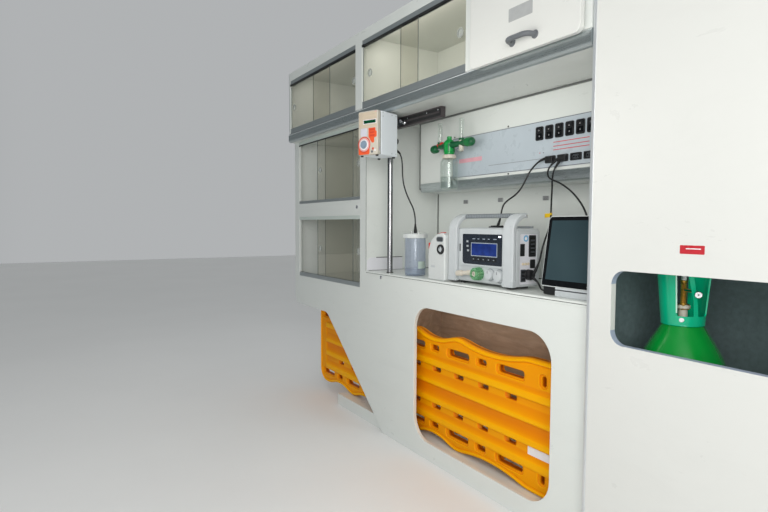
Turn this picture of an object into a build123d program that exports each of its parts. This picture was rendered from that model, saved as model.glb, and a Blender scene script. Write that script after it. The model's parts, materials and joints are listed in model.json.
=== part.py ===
from build123d import *
import os
from math import radians, tan

# Fitted equipment wall of an ambulance's patient compartment, with what is mounted on it.
# Millimetres. +X towards the vehicle's front, +Y towards the vehicle's side wall, +Z up.
# Origin: centre of the footprint's box, on the floor. The front faces -Y.

# ---------------------------------------------------------------- driving dimensions
X_REAR, X_FRONT = -1420.0, 1420.0        # whole length, with the end door's handle
X_END = 1390.0                           # outer face of the tall locker's front end
Z_TOP = 1811.0                           # under the ceiling
T = 15.0                                 # laminated board
Y_UP = -183.0                            # front face of the overhead lockers and of the tall locker
Y_LO = -145.0                            # front face of the lower panel and of the rear cupboard
Y_BACK = 281.0                           # outer face of the back panel
Y_IN = Y_BACK - T                        # its inner face
X_TALL = 660.0                           # left side of the tall locker
X_CUP = -586.0                           # right side of the rear cupboard
Z_OVER = 1417.0                          # underside of the overhead lockers
Z_NOSE = 1465.0                          # top of the rounded edge profile
Z_COUNTER = 725.0                        # counter top
Z_CUP_LOW = 474.0                        # bottom edge of the rear cupboard's front
PANE = 4.0                               # sliding acrylic
WALL, GROOVE = 3.0, 6.0                  # pane track's walls and grooves


def block(x0, x1, y0, y1, z0, z1):
    return Pos((x0 + x1) / 2, (y0 + y1) / 2, (z0 + z1) / 2) * Box(x1 - x0, y1 - y0, z1 - z0)


def slab_y(face, y0, y1):
    """A sketch drawn in X and Z, made solid from y0 to y1."""
    return extrude(Plane.XZ.offset(-y1) * face, amount=y1 - y0)


def slab_x(face, x0, x1):
    """A sketch drawn in Y and Z, made solid from x0 to x1."""
    return extrude(Plane.YZ.offset(x0) * face, amount=x1 - x0)


def slab_z(face, z0, z1):
    return extrude(Plane.XY.offset(z0) * face, amount=z1 - z0)


def outline(points, rounds=()):
    """Closed outline, with (a, b, radius) rows for the corners that are rounded."""
    face = make_face(Polyline(*points, close=True))
    for a, b, r in rounds:
        corner = min(face.vertices(), key=lambda v: (v.X - a) ** 2 + (v.Y - b) ** 2)
        face = fillet(corner, r)
    return face


def rect(a0, a1, b0, b1, r=0.0):
    w, h = a1 - a0, b1 - b0
    shape = RectangleRounded(w, h, r) if r else Rectangle(w, h)
    return Pos((a0 + a1) / 2, (b0 + b1) / 2) * shape


def rod(p, q, r):
    """Round bar from p to q."""
    a, b = Vector(*p), Vector(*q)
    return extrude(Plane(origin=a, z_dir=b - a) * Circle(r), amount=(b - a).length)


def ring(p, q, r_out, r_in):
    a, b = Vector(*p), Vector(*q)
    return extrude(Plane(origin=a, z_dir=b - a) * (Circle(r_out) - Circle(r_in)), amount=(b - a).length)


def lathe(x, y, profile):
    """Solid turned about a vertical axis at x, y, from (radius, z) points."""
    face = make_face(Polyline(*profile, close=True))
    return Pos(x, y, 0) * revolve(Plane.XZ * face, Axis.Z)


def fuse(*solids):
    out = solids[0]
    for s in solids[1:]:
        out = out + s
    return out


def soft_edges(solid, r, direction=None):
    edges = solid.edges() if direction is None else solid.edges().filter_by(direction)
    return fillet(edges, r)


parts = {}

# ---------------------------------------------------------------- carcass
# main front panel: rear cupboard's front, lower front with the slanted cut, and the board bay's opening
front = outline(
    [(X_REAR, Z_CUP_LOW), (-999, Z_CUP_LOW), (-434, 0), (X_TALL, 0), (X_TALL, Z_COUNTER - T), (X_CUP, Z_COUNTER - T), (X_CUP, Z_OVER),
     (-644, Z_OVER), (-644, 1060), (-1360, 1060), (-1360, Z_OVER), (X_REAR, Z_OVER)],
    [(X_REAR, Z_CUP_LOW, 60), (-999, Z_CUP_LOW, 80)])
front -= rect(-1360, -644, 642, 985)
BAY = (-194.0, 517.0, 70.0, 611.0)
front -= rect(*BAY, 90)
parts["lower_front_panel"] = slab_y(front, Y_LO, Y_LO + T)

# counter with a rounded front edge over the front panel
counter = block(X_CUP, X_TALL, Y_LO, Y_IN, Z_COUNTER - T, Z_COUNTER)
edge = [e for e in counter.edges().filter_by(Axis.X) if abs(e.center().Y - Y_LO) < 0.1 and e.center().Z > Z_COUNTER - 1]
parts["counter_top"] = fillet(edge, 7)

# back panel, with four holes for its wall bolts
back = outline([(X_REAR, Z_CUP_LOW), (-999, Z_CUP_LOW), (-434, 0), (X_END, 0), (X_END, Z_TOP), (X_REAR, Z_TOP)])
BOLT = (2500.0, 1100.0, 5.5)             # spacing along X, spacing along Z, hole radius
BOLT_Z = 1100.0
for sx in (-1, 1):
    for sz in (-1, 1):
        back -= Pos(sx * BOLT[0] / 2, BOLT_Z + sz * BOLT[1] / 2) * Circle(BOLT[2])
parts["back_panel"] = slab_y(back, Y_IN, Y_BACK)

# rear end panel: narrower beside the cupboard than beside the overhead locker
rear = outline([(Y_LO + T, 612), (Y_IN, 612), (Y_IN, Z_TOP), (Y_UP + T, Z_TOP), (Y_UP + T, Z_OVER), (Y_LO + T, Z_OVER)])
parts["rear_end_panel"] = slab_x(rear, X_REAR, X_REAR + T)

side = outline([(Y_LO + T, 642), (Y_IN, 642), (Y_IN, Z_OVER), (Y_LO + T, Z_OVER)])
parts["cupboard_side_panel"] = slab_x(side, X_CUP - T, X_CUP)
parts["cupboard_shelves"] = Compound(children=[
    block(X_REAR + T, X_CUP, Y_LO + T, Y_IN, 627, 642), block(X_REAR + T, X_CUP - T, Y_LO + T, Y_IN, 1045, 1060)])

Z_BAY = 56.0                             # top of the bay's floor
parts["bay_floor"] = fuse(
    block(-900, X_TALL, Y_LO + T, Y_IN, Z_BAY - T, Z_BAY), block(-900, X_TALL, Y_LO + T, Y_LO + T + 20, 0, Z_BAY - T),
    block(-900, X_TALL, Y_IN - 20, Y_IN, 0, Z_BAY - T))
# plywood back of the bay and the panel that ends it behind the board
parts["bay_back_panel"] = block(-524, X_TALL, Y_IN - 10, Y_IN, Z_BAY, Z_COUNTER - T)
parts["bay_end_panel"] = block(-539, -524, -25, Y_IN, Z_BAY, Z_COUNTER - T)

# ---------------------------------------------------------------- overhead lockers
parts["overhead_floor_and_roof"] = Compound(children=[
    block(X_REAR + T, X_TALL, Y_UP + T, Y_IN, z, z + T) for z in (Z_OVER, Z_TOP - T)])

Z_PANE_LO, Z_PANE_HI, Z_TRACK = 1494.0, 1742.0, 1766.0
FLAP = (200.0, 642.0, 1456.0, 1786.0)
BAYS = {"rear": (-1392.0, -620.0), "middle": (-560.0, 152.0)}
fascia = rect(X_REAR + T, X_TALL, Z_TRACK, Z_TOP) + rect(X_REAR + T, BAYS["rear"][0], Z_NOSE, Z_TRACK) + rect(-620, -560, Z_NOSE, Z_TRACK)
fascia += rect(152, X_TALL, Z_NOSE, Z_TRACK)
fascia -= rect(228, 614, 1492, 1740, 12)
parts["overhead_fascia"] = slab_y(fascia, Y_UP, Y_UP + T)
parts["overhead_dividers"] = Compound(children=[
    block(x - 7.5, x + 7.5, Y_UP + T, Y_IN, Z_OVER + T, Z_TOP - T) for x in (-590.0, 190.0)])

# rounded aluminium edge along the bottom of the overhead lockers
nose = outline([(Y_UP, Z_OVER), (Y_UP + T, Z_OVER), (Y_UP + T, Z_NOSE), (Y_UP, Z_NOSE)], [(Y_UP, Z_OVER, 14), (Y_UP, Z_NOSE, 8)])
parts["bullnose_profile"] = slab_x(nose, X_REAR, X_TALL)


def track(x0, x1, y0, z0, z1, web, up):
    """Double pane track: a web with three walls. up=True stands on its web, else it hangs from it."""
    w = 3 * WALL + 2 * GROOVE
    zw = (z0, z0 + web) if up else (z1 - web, z1)
    out = block(x0, x1, y0, y0 + w, *zw)
    for i in range(3):
        yy = y0 + i * (WALL + GROOVE)
        out += block(x0, x1, yy, yy + WALL, z0, z1)
    return out


# bay: x0, x1, y of the track's front, lower track z0, z1, upper track z0, z1
TRACKS = {
    "rear_upper": (-1392, -620, Y_UP + 2, Z_NOSE, Z_PANE_LO, Z_PANE_HI, Z_TRACK),
    "middle_upper": (-560, 152, Y_UP + 2, Z_NOSE, Z_PANE_LO, Z_PANE_HI, Z_TRACK),
    "rear_middle": (-1360, -644, Y_LO + 1, 1060, 1075, 1397, Z_OVER),
    "rear_lower": (-1360, -644, Y_LO + 1, 642, 663, 967, 985),
}
tracks = {"upper": [], "cupboard": []}
for name, (x0, x1, y0, a0, a1, b0, b1) in TRACKS.items():
    group = tracks["upper" if "upper" in name else "cupboard"]
    group += [track(x0, x1, y0, a0, a1, 5, True), track(x0, x1, y0, b0, b1, 5, False)]
parts["overhead_pane_tracks"] = Compound(children=tracks["upper"])
parts["cupboard_pane_tracks"] = Compound(children=tracks["cupboard"])

# panes: bay, groove (0 front, 1 back), x0, x1, pull's x
PANES = [
    ("rear_upper", 0, -1390, -898, -1350), ("rear_upper", 1, -1114, -622, -660),
    ("middle_upper", 0, -558, -137, -500), ("middle_upper", 1, -271, 150, 105),
    ("rear_middle", 0, -1123, -723, -1090), ("rear_middle", 1, -1046, -646, -680),
    ("rear_lower", 0, -1123, -723, -1090), ("rear_lower", 1, -1046, -646, -680),
]
for bay, groove, x0, x1, xp in PANES:
    y0 = TRACKS[bay][2] + WALL + 1 + groove * (WALL + GROOVE)
    z0, z1 = TRACKS[bay][3] + 6, TRACKS[bay][6] - 11
    zp = (z0 + z1) / 2
    pane = rect(x0, x1, z0, z1) - Pos(xp, zp) * Circle(14)
    parts[bay + ("_front_pane" if groove == 0 else "_back_pane")] = slab_y(pane, y0, y0 + PANE)

# lift-up flap over the front bay, with its hinges and handle
Y_FLAP = -206.0
flap = slab_y(rect(*FLAP, 20), Y_FLAP, Y_FLAP + 18)
HINGE_Y, HINGE_Z = -191.0, 1793.0
HINGES = (290.0, 552.0)
hinge_fixed, flap_leaf = [], []
for x in HINGES:
    fixed = rod((x - 25, HINGE_Y, HINGE_Z), (x - 0.5, HINGE_Y, HINGE_Z), 4.5) + block(x - 25, x - 0.5, HINGE_Y, Y_UP, HINGE_Z - 2, HINGE_Z + 2)
    fixed += rod((x - 0.5, HINGE_Y, HINGE_Z), (x + 25, HINGE_Y, HINGE_Z), 2.0)
    hinge_fixed.append(fixed)
    leaf = block(x + 0.5, x + 24.5, HINGE_Y - 4.5, HINGE_Y - 1, FLAP[3] - 12, HINGE_Z) + rod((x + 0.5, HINGE_Y, HINGE_Z), (x + 24.5, HINGE_Y, HINGE_Z), 4.5)
    flap_leaf.append(leaf - rod((x - 1, HINGE_Y, HINGE_Z), (x + 26, HINGE_Y, HINGE_Z), 2.08))
parts["flap_door"] = fuse(flap, *flap_leaf)
handle_path = FilletPolyline((394, Y_FLAP, 1493), (394, Y_FLAP - 35, 1493), (506, Y_FLAP - 35, 1493), (506, Y_FLAP, 1493), radius=26)
parts["flap_handle"] = sweep(Plane(origin=handle_path @ 0, z_dir=handle_path % 0) * Circle(6.5), path=handle_path)

# ---------------------------------------------------------------- fascia box over the counter
Y_BOX, Z_BOX = 102.0, 1094.0
parts["fascia_box"] = slab_y(outline([(-500, Z_BOX), (X_TALL, Z_BOX), (X_TALL, Z_OVER), (-500, Z_OVER)], [(-500, Z_BOX, 14)]), Y_BOX, Y_BOX + 12)
parts["fascia_box"] += block(-500, -488, Y_BOX + 12, Y_IN, Z_BOX + 15, Z_OVER) + block(-485, X_TALL, Y_BOX + 12, Y_IN, Z_BOX, Z_BOX + 12)
parts["outlet_plate"] = slab_y(rect(-257, 600, 1144, 1313), Y_BOX - 2, Y_BOX)
parts["rocker_switches"] = Compound(children=[
    slab_y(rect(x, x + 35, 1245, 1294, 6), Y_BOX - 10, Y_BOX - 2) for x in (217, 261, 305, 349, 393, 437)])
parts["power_sockets"] = Compound(children=[
    slab_y(rect(x, x + 44, 1160, 1185, 3), Y_BOX - 8, Y_BOX - 2) for x in (264, 318.5, 373, 427.5, 482)])

# oxygen flowmeters with a humidifier bottle
YG, ZG = 37.0, 1275.0
body = rod((-300, YG, ZG), (-76, YG, ZG), 13) + rod((-203, YG, 1236), (-203, YG, 1300), 24) + rod((-203, YG, 1300), (-203, YG, 1312), 10)
body += rod((-328, YG, ZG - 6), (-300, YG, ZG - 6), 17) + rod((-76, YG, ZG), (-50, YG, ZG), 17)
body += rod((-203, YG, ZG), (-203, Y_BOX - 2, ZG), 12)
parts["oxygen_regulators"] = body
parts["flowmeter_tubes"] = Compound(children=[rod((x, YG, ZG + 13), (x, YG, 1377), 11) for x in (-265.0, -125.0)])
bottle = lathe(-203, YG, [(0, 1090), (33, 1090), (37.5, 1096), (37.5, 1208), (26, 1222), (26, 1236), (0, 1236)])
parts["humidifier_bottle"] = bottle - lathe(-203, YG, [(0, 1093), (32, 1093), (35, 1098), (35, 1207), (23.5, 1220), (23.5, 1233), (0, 1233)])

# ---------------------------------------------------------------- pole, rail and pump
parts["equipment_rail"] = block(-475, -138, -60, -36, 1373, Z_OVER)
POLE = (-448.0, -100.0)
# the pump hangs on the pole turned a little towards the aisle; it is drawn from its near front corner: X to its front's right, Y to its back
PUMP_CORNER, PUMP_TURN, PUMP_SIZE, PUMP_Z = (-300.0, -258.0), 20.0, (104.0, 138.0), (1229.0, 1409.0)


def on_pump(shape):
    return Pos(*PUMP_CORNER, 0) * Rot(0, 0, PUMP_TURN) * shape


pump_body = on_pump(soft_edges(block(-PUMP_SIZE[0], 0, 0, PUMP_SIZE[1], *PUMP_Z), 5))
parts["infusion_pump"] = pump_body + on_pump(rod((-71, -7, 1272), (-71, 0, 1272), 16))
for x, y in ((-92, 12), (-12, 12), (-92, 126), (-12, 126)):
    parts["infusion_pump"] += on_pump(rod((x, y, 1223), (x, y, PUMP_Z[0]), 6))
along, away = 86.0, 198.0                # of the pole's centre, in the pump's own directions
clamp = on_pump(block(-100, -30, PUMP_SIZE[1], PUMP_SIZE[1] + 8, 1285, 1345) + block(-along - 17, -along + 17, PUMP_SIZE[1] + 8, away + 18, 1292, 1338))
parts["pole"] = clamp + rod((*POLE, Z_COUNTER), (*POLE, Z_OVER), 12.5)

# ---------------------------------------------------------------- tall locker
WINDOW = (740.0, 1240.0, 632.0, 825.0)
tall = rect(X_TALL + 16, X_END, 0, Z_TOP) - rect(*WINDOW, 36)
parts["tall_front_panel"] = slab_y(tall, Y_UP, Y_UP + 20)
post = outline([(X_TALL, Y_UP), (X_TALL + 16, Y_UP), (X_TALL + 16, Y_UP + 20), (X_TALL, Y_UP + 20)], [(X_TALL, Y_UP, 12)])
rear_post = outline([(X_REAR, Y_UP), (X_REAR + T, Y_UP), (X_REAR + T, Y_UP + T), (X_REAR, Y_UP + T)], [(X_REAR, Y_UP, 11)])
parts["edge_profiles"] = Compound(children=[slab_z(post, 0, Z_TOP), slab_z(rear_post, Z_NOSE, Z_TOP)])
parts["tall_side_panel"] = block(X_TALL, X_TALL + T, Y_UP + 20, Y_IN, 0, Z_TOP)
parts["tall_shelves"] = Compound(children=[
    block(X_TALL + T, X_END - T, Y_UP + 20, Y_IN, z, z + T) for z in (0.0, 1000.0, Z_TOP - T)])
parts["locker_lining"] = block(X_TALL + T, X_TALL + T + 3, Y_UP + 20, Y_IN, T, 1000) + block(X_TALL + T, X_END - T, Y_IN - 3, Y_IN, T, 1000)
parts["locker_lining"] -= rod((BOLT[0] / 2, Y_IN - 20, BOLT_Z - BOLT[1] / 2), (BOLT[0] / 2, Y_IN + 5, BOLT_Z - BOLT[1] / 2), 20)

# front end: frame with an inset door, hinged at the wall side
DOOR = (-130.0, 236.0, 45.0, 1766.0)
GAP = 5.0
frame = rect(Y_UP + 20, Y_IN, 0, Z_TOP) - rect(DOOR[0] - GAP, DOOR[1] + GAP, DOOR[2] - GAP, DOOR[3] + GAP)
parts["end_frame"] = slab_x(frame, X_END - T, X_END)
PIVOT = (X_END + 5.0, DOOR[1] + 5.0)
END_HINGES = (160.0, 905.0, 1650.0)
end_door = slab_x(rect(*DOOR, 4), X_END - T, X_END)
end_fixed = []
for z in END_HINGES:
    fixed = rod((*PIVOT, z - 25), (*PIVOT, z - 0.5), 5) + rod((*PIVOT, z - 0.5), (*PIVOT, z + 25), 2)
    fixed += block(X_END, X_END + 3, PIVOT[1] + 1, PIVOT[1] + 22, z - 25, z - 0.5)
    end_fixed.append(fixed)
    leaf = rod((*PIVOT, z + 0.5), (*PIVOT, z + 24.5), 5) + block(X_END, X_END + 3, PIVOT[1] - 30, PIVOT[1], z + 0.5, z + 24.5)
    end_door += leaf - rod((*PIVOT, z - 1), (*PIVOT, z + 26), 2.08)
parts["end_door"] = end_door
parts["door_hinges"] = Compound(children=hinge_fixed + end_fixed)
grip = FilletPolyline((X_END, -95, 890), (X_FRONT - 7, -95, 890), (X_FRONT - 7, -95, 1010), (X_END, -95, 1010), radius=16)
parts["end_door_handle"] = sweep(Plane(origin=grip @ 0, z_dir=grip % 0) * Circle(7), path=grip)

CX, CY = 845.0, -33.0
parts["oxygen_cylinder"] = lathe(CX, CY, [(0, 15), (92, 15), (102, 27), (102, 572), (95, 600), (50, 690), (0, 690)])
guard = lathe(CX, CY, [(47.5, 690), (51.5, 690), (68, 880), (64, 880)])
# the guard flares upwards; its two openings face the aisle and the front, with a strut between them
guard -= Pos(CX, CY, 0) * Rot(0, 0, -63) * block(0, 90, -14, 14, 712, 852)
parts["valve_guard"] = guard - Pos(CX, CY, 0) * Rot(0, 0, -8) * block(0, 90, -24, 24, 712, 852)
parts["cylinder_valve"] = lathe(CX, CY, [(0, 690), (26, 690), (26, 702), (11, 702), (11, 800), (20, 800), (20, 830), (0, 830)])

# ---------------------------------------------------------------- what stands on the counter
ZC = Z_COUNTER
# transport ventilator: a body between two broad bands that bend back to a carrying bar
BAND, Y_BAND, Z_BAR = 15.0, -118.0, (965.0, 980.0)
hook = rect(Y_BAND, -50, ZC + 8, Z_BAR[1]) - rect(Y_BAND + BAND, -50, ZC + 8, Z_BAR[0])
hook = fillet(min(hook.vertices(), key=lambda v: abs(v.X - Y_BAND) + abs(v.Y - Z_BAR[1])), 62)
hook = fillet(min(hook.vertices(), key=lambda v: abs(v.X - Y_BAND - BAND) + abs(v.Y - Z_BAR[0])), 47)
parts["ventilator_cage"] = fuse(slab_x(hook, -10, 36), slab_x(hook, 277, 326), block(36, 277, -78, -52, *Z_BAR))
vent = soft_edges(block(6, 322, Y_BAND + BAND, 10, 733, 930), 12, Axis.X)
for x in (30, 270):
    vent += block(x, x + 24, -90, -10, ZC, 733)
vent += rod((322, -43, 774), (327, -43, 774), 18)
parts["ventilator"] = vent
parts["suction_jar"] = lathe(-283, -78, [(0, ZC), (43, ZC), (45, ZC + 4), (45, 885), (0, 885)])
parts["suction_jar_lid"] = lathe(-283, -78, [(0, 885), (52, 885), (53, 888), (53, 901), (50, 904), (0, 904)]) + rod((-308, -78, 904), (-308, -78, 916), 5) + rod((-258, -78, 904), (-258, -78, 916), 5)
suction = slab_y(outline([(-119, ZC), (-14, ZC), (-14, 910), (-119, 910)], [(-119, 910, 84), (-14, 910, 20)]), -133, -10)
parts["suction_unit"] = suction + rod((-36, -141, 847), (-36, -133, 847), 19)
screen = slab_x(outline([(-112, 752), (-78, 970), (-52, 966), (-80, 752)]), 440, 648)
parts["patient_monitor"] = fuse(screen, block(500, 648, -118, -20, ZC, 752), block(440, 500, -100, -60, ZC, 752))

# ---------------------------------------------------------------- spine board in its bay
BOARD = (-1206.0, 634.0, 57.0, 505.0)    # rear end, front end, lower edge, upper edge
BOARD_Y = (-86.0, -40.0)
PITCH = 278.0                            # of the hand slots
SLOTS = [-1103.0 + PITCH * i for i in range(6)]
PEGS = [-971.0 + PITCH * i for i in range(5)]
PINS = [-1103.0 + PITCH / 2 * i for i in range(11)]
bx0, bx1, bz0, bz1 = BOARD
board = rect(bx0, bx1, bz0, bz1, 75)
# the long edges wave in between the hand slots; the front wave is longer
for x in PEGS[:4]:
    for z in (bz1 + 263.5, bz0 - 263.5):
        board -= Pos(x, z) * Circle(287.5)
for z in (bz1 + 608, bz0 - 608):
    board -= Pos(190, z) * Circle(630)
for z in (bz1 - 66, bz0 + 62):
    for x in SLOTS:
        board -= Pos(x, z) * RectangleRounded(120, 28, 13)
    for x in PEGS:
        board -= Pos(x, z) * RectangleRounded(46, 22, 8)
    board -= Pos(433, z) * RectangleRounded(20, 38, 9.5)
for z in (351.0, 197.0):
    for x in PINS:
        board -= Pos(x, z) * RectangleRounded(34, 20, 6)
parts["spine_board"] = slab_y(board, *BOARD_Y)

# ---------------------------------------------------------------- leads
LEAD = 6.0


def lead(points, d=LEAD):
    """Round tube along straight runs joined by tangent arcs, each as large as its runs allow."""
    pts = [Vector(*p) for p in points]
    radii = []
    for a, b, c in zip(pts, pts[1:], pts[2:]):
        turn = (b - a).get_angle(c - b)
        radii.append(0.45 * min((b - a).length, (c - b).length) / tan(radians(turn / 2)))
    path = FilletPolyline(*pts, radius=radii)
    tube = sweep(Plane(origin=path @ 0, z_dir=path % 0) * Circle(d / 2), path=path)
    print("  length", round(path.length), "tightest", round(min(radii)), "volume ratio", round(tube.volume / (path.length * 3.14159265 * d * d / 4), 4),
          "runs", [round((b - a).length) for a, b in zip(pts, pts[1:])], "radii", [round(r) for r in radii])
    return tube


def relief(end, nxt, length, r):
    """Strain relief that carries on a lead's line from its end, away from its next point."""
    e, n = Vector(*end), Vector(*nxt)
    d = (e - n).normalized()
    return extrude(Plane(origin=e, z_dir=d) * Circle(r), amount=length)


LEADS = {
    "pump_to_jar_cord": [
        (-363, -119, 1257), (-369, -104, 1252), (-372, -95, 1240), (-370, -90, 1221), (-369, -88, 1190), (-368, -88, 1153), (-360, -88, 1116), (-341, -87, 1078),
        (-315, -85, 1040), (-293, -82, 1010), (-283, -80, 976), (-284, -78, 944), (-283, -78, 918)],
    "ventilator_cord": [
        (268, 84, 1174), (250, 84, 1170), (231, 80, 1156), (213, 73, 1133), (202, 64, 1102), (190, 54, 1071), (170, 44, 1048), (148, 34, 1034),
        (136, 22, 1017), (140, 9, 992), (147, -2, 967), (149, -13, 946)],
    "monitor_cord": [
        (325, 78, 1162), (315, 75, 1153), (305, 71, 1141), (302, 66, 1124), (310, 61, 1108), (326, 56, 1099), (349, 51, 1091), (379, 45, 1080), (412, 38, 1063),
        (443, 31, 1043), (473, 22, 1019), (502, 11, 991), (525, -4, 962), (538, -24, 936), (541, -50, 915)],
    "connector_cord": [
        (332, 85, 1155), (326, 81, 1144), (320, 76, 1127), (322, 69, 1106), (328, 61, 1082), (336, 52, 1055), (343, 42, 1028), (352, 31, 1001), (363, 18, 976),
        (376, 2, 951), (386, -18, 926), (389, -36, 898), (386, -46, 868), (379, -46, 838), (368, -43, 812), (356, -42, 793)],
    "monitor_base_cord": [(348, -44, 764), (368, -45, 754), (388, -57, 742), (412, -76, 732), (440, -76, 732)],
}
for name, points in LEADS.items():
    print(name)
    parts[name] = lead(points)


def ends(name):
    p = LEADS[name]
    return (p[0], p[1]), (p[-1], p[-2])


socket_1 = soft_edges(block(276, 307, 78, Y_BOX - 8, 1162, 1183), 2.5) + relief(*ends("ventilator_cord")[0], 14, 4.5)
socket_2 = soft_edges(block(330, 362, 78, Y_BOX - 8, 1162, 1183), 2.5) + relief(*ends("monitor_cord")[0], 13, 4) + relief(*ends("connector_cord")[0], 13, 4)
at_pump = relief(*ends("pump_to_jar_cord")[0], 20, 5) - pump_body
at_jar = relief(*ends("pump_to_jar_cord")[1], 20, 7) - lathe(-283, -78, [(0, 800), (60, 800), (60, 904), (0, 904)])
on_top = soft_edges(block(118, 184, -34, -10, 930, 938), 2) + relief(*ends("ventilator_cord")[1], 10, 4.5)
on_top -= block(100, 200, -50, 10, 900, 930)
at_side = rod((327, -43, 774), (342, -43, 774), 17) + relief(*ends("connector_cord")[1], 20, 4.5) + relief(*ends("monitor_base_cord")[0], 12, 4.5)
at_side -= block(300, 327, -80, 0, 700, 830)
at_back = relief(*ends("monitor_cord")[1], 26, 5) - parts["patient_monitor"]
at_back = max(at_back.solids(), key=lambda b: b.center().Z)
parts["cord_plugs"] = Compound(children=[socket_1, socket_2, at_pump, at_jar, on_top, at_side, at_back])

os.makedirs("parts", exist_ok=True)
for name, shape in parts.items():
    export_step(shape, f"parts/{name}.step")
print(len(parts), "nodes")
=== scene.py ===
import json
import math

import bmesh
import bpy
import numpy as np
from mathutils import Matrix, Vector, geometry

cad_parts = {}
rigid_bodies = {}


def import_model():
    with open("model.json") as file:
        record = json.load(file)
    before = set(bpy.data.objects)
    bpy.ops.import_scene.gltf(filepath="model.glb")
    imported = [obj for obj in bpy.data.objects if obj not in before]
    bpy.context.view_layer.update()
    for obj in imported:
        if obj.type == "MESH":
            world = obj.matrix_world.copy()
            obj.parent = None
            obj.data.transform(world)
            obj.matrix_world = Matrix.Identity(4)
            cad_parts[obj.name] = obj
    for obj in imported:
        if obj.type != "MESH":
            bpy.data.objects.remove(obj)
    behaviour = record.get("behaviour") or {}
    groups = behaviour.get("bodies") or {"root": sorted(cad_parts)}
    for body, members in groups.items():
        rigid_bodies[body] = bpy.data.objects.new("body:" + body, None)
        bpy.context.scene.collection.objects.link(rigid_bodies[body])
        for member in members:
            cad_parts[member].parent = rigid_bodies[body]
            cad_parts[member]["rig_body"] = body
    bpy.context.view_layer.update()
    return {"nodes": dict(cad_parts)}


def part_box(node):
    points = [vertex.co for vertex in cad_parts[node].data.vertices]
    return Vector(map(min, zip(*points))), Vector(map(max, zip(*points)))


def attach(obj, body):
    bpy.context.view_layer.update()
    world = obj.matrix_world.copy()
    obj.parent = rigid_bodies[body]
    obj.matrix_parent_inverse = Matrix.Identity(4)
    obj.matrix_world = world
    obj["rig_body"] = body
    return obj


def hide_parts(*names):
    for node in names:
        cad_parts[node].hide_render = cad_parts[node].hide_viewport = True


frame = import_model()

MM = 0.001


# ---------------------------------------------------------------- materials
def lin(c):
    return tuple(((v / 255) / 12.92 if v <= 10.31 else ((v / 255 + 0.055) / 1.055) ** 2.4) for v in c)


class Mat:
    """A procedural material round one Principled shader. Lengths are in metres."""

    def __init__(self, name):
        self.m = bpy.data.materials.new(name)
        self.m.use_nodes = True
        self.nt = self.m.node_tree
        self.nt.nodes.clear()
        self.out = self.new("ShaderNodeOutputMaterial")
        self.b = self.new("ShaderNodeBsdfPrincipled")
        self.link(self.b.outputs[0], self.out.inputs[0])
        self.tc = self.new("ShaderNodeTexCoord")

    def new(self, kind):
        return self.nt.nodes.new(kind)

    def link(self, a, b):
        self.nt.links.new(a, b)

    def where(self, stretch=(1, 1, 1), turn=(0, 0, 0)):
        mp = self.new("ShaderNodeMapping")
        mp.inputs["Scale"].default_value = stretch
        mp.inputs["Rotation"].default_value = turn
        self.link(self.tc.outputs["Object"], mp.inputs["Vector"])
        return mp.outputs[0]

    def noise(self, scale, detail=3.0, rough=0.55, stretch=(1, 1, 1), warp=0.0):
        n = self.new("ShaderNodeTexNoise")
        n.inputs["Scale"].default_value = scale
        n.inputs["Detail"].default_value = detail
        n.inputs["Roughness"].default_value = rough
        n.inputs["Distortion"].default_value = warp
        self.link(self.where(stretch), n.inputs["Vector"])
        return n.outputs["Fac"]

    def ramp(self, fac, stops, ease="LINEAR"):
        r = self.new("ShaderNodeValToRGB")
        r.color_ramp.interpolation = ease
        while len(r.color_ramp.elements) < len(stops):
            r.color_ramp.elements.new(0.5)
        for e, (p, c) in zip(r.color_ramp.elements, stops):
            e.position = p
            e.color = (*c, 1.0)
        self.link(fac, r.inputs["Fac"])
        return r.outputs["Color"]

    def span(self, fac, lo, hi, a=0.3, b=0.7):
        r = self.new("ShaderNodeMapRange")
        for k, v in (("From Min", a), ("From Max", b), ("To Min", lo), ("To Max", hi)):
            r.inputs[k].default_value = v
        self.link(fac, r.inputs["Value"])
        return r.outputs["Result"]

    def mix(self, fac, a, b):
        r = self.new("ShaderNodeMix")
        r.data_type = "RGBA"
        self.link(fac, r.inputs["Factor"])
        for s, v in ((r.inputs[6], a), (r.inputs[7], b)):
            if isinstance(v, tuple):
                s.default_value = (*v, 1.0)
            else:
                self.link(v, s)
        return r.outputs[2]

    def bump(self, height, dist, strength=1.0, onto=None):
        n = self.new("ShaderNodeBump")
        n.inputs["Strength"].default_value = strength
        n.inputs["Distance"].default_value = dist
        self.link(height, n.inputs["Height"])
        if onto is not None:
            self.link(onto, n.inputs["Normal"])
        self.link(n.outputs["Normal"], self.b.inputs["Normal"])
        return n.outputs["Normal"]

    def set(self, **values):
        for k, v in values.items():
            self.b.inputs[k.replace("_", " ")].default_value = v
        return self


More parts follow.
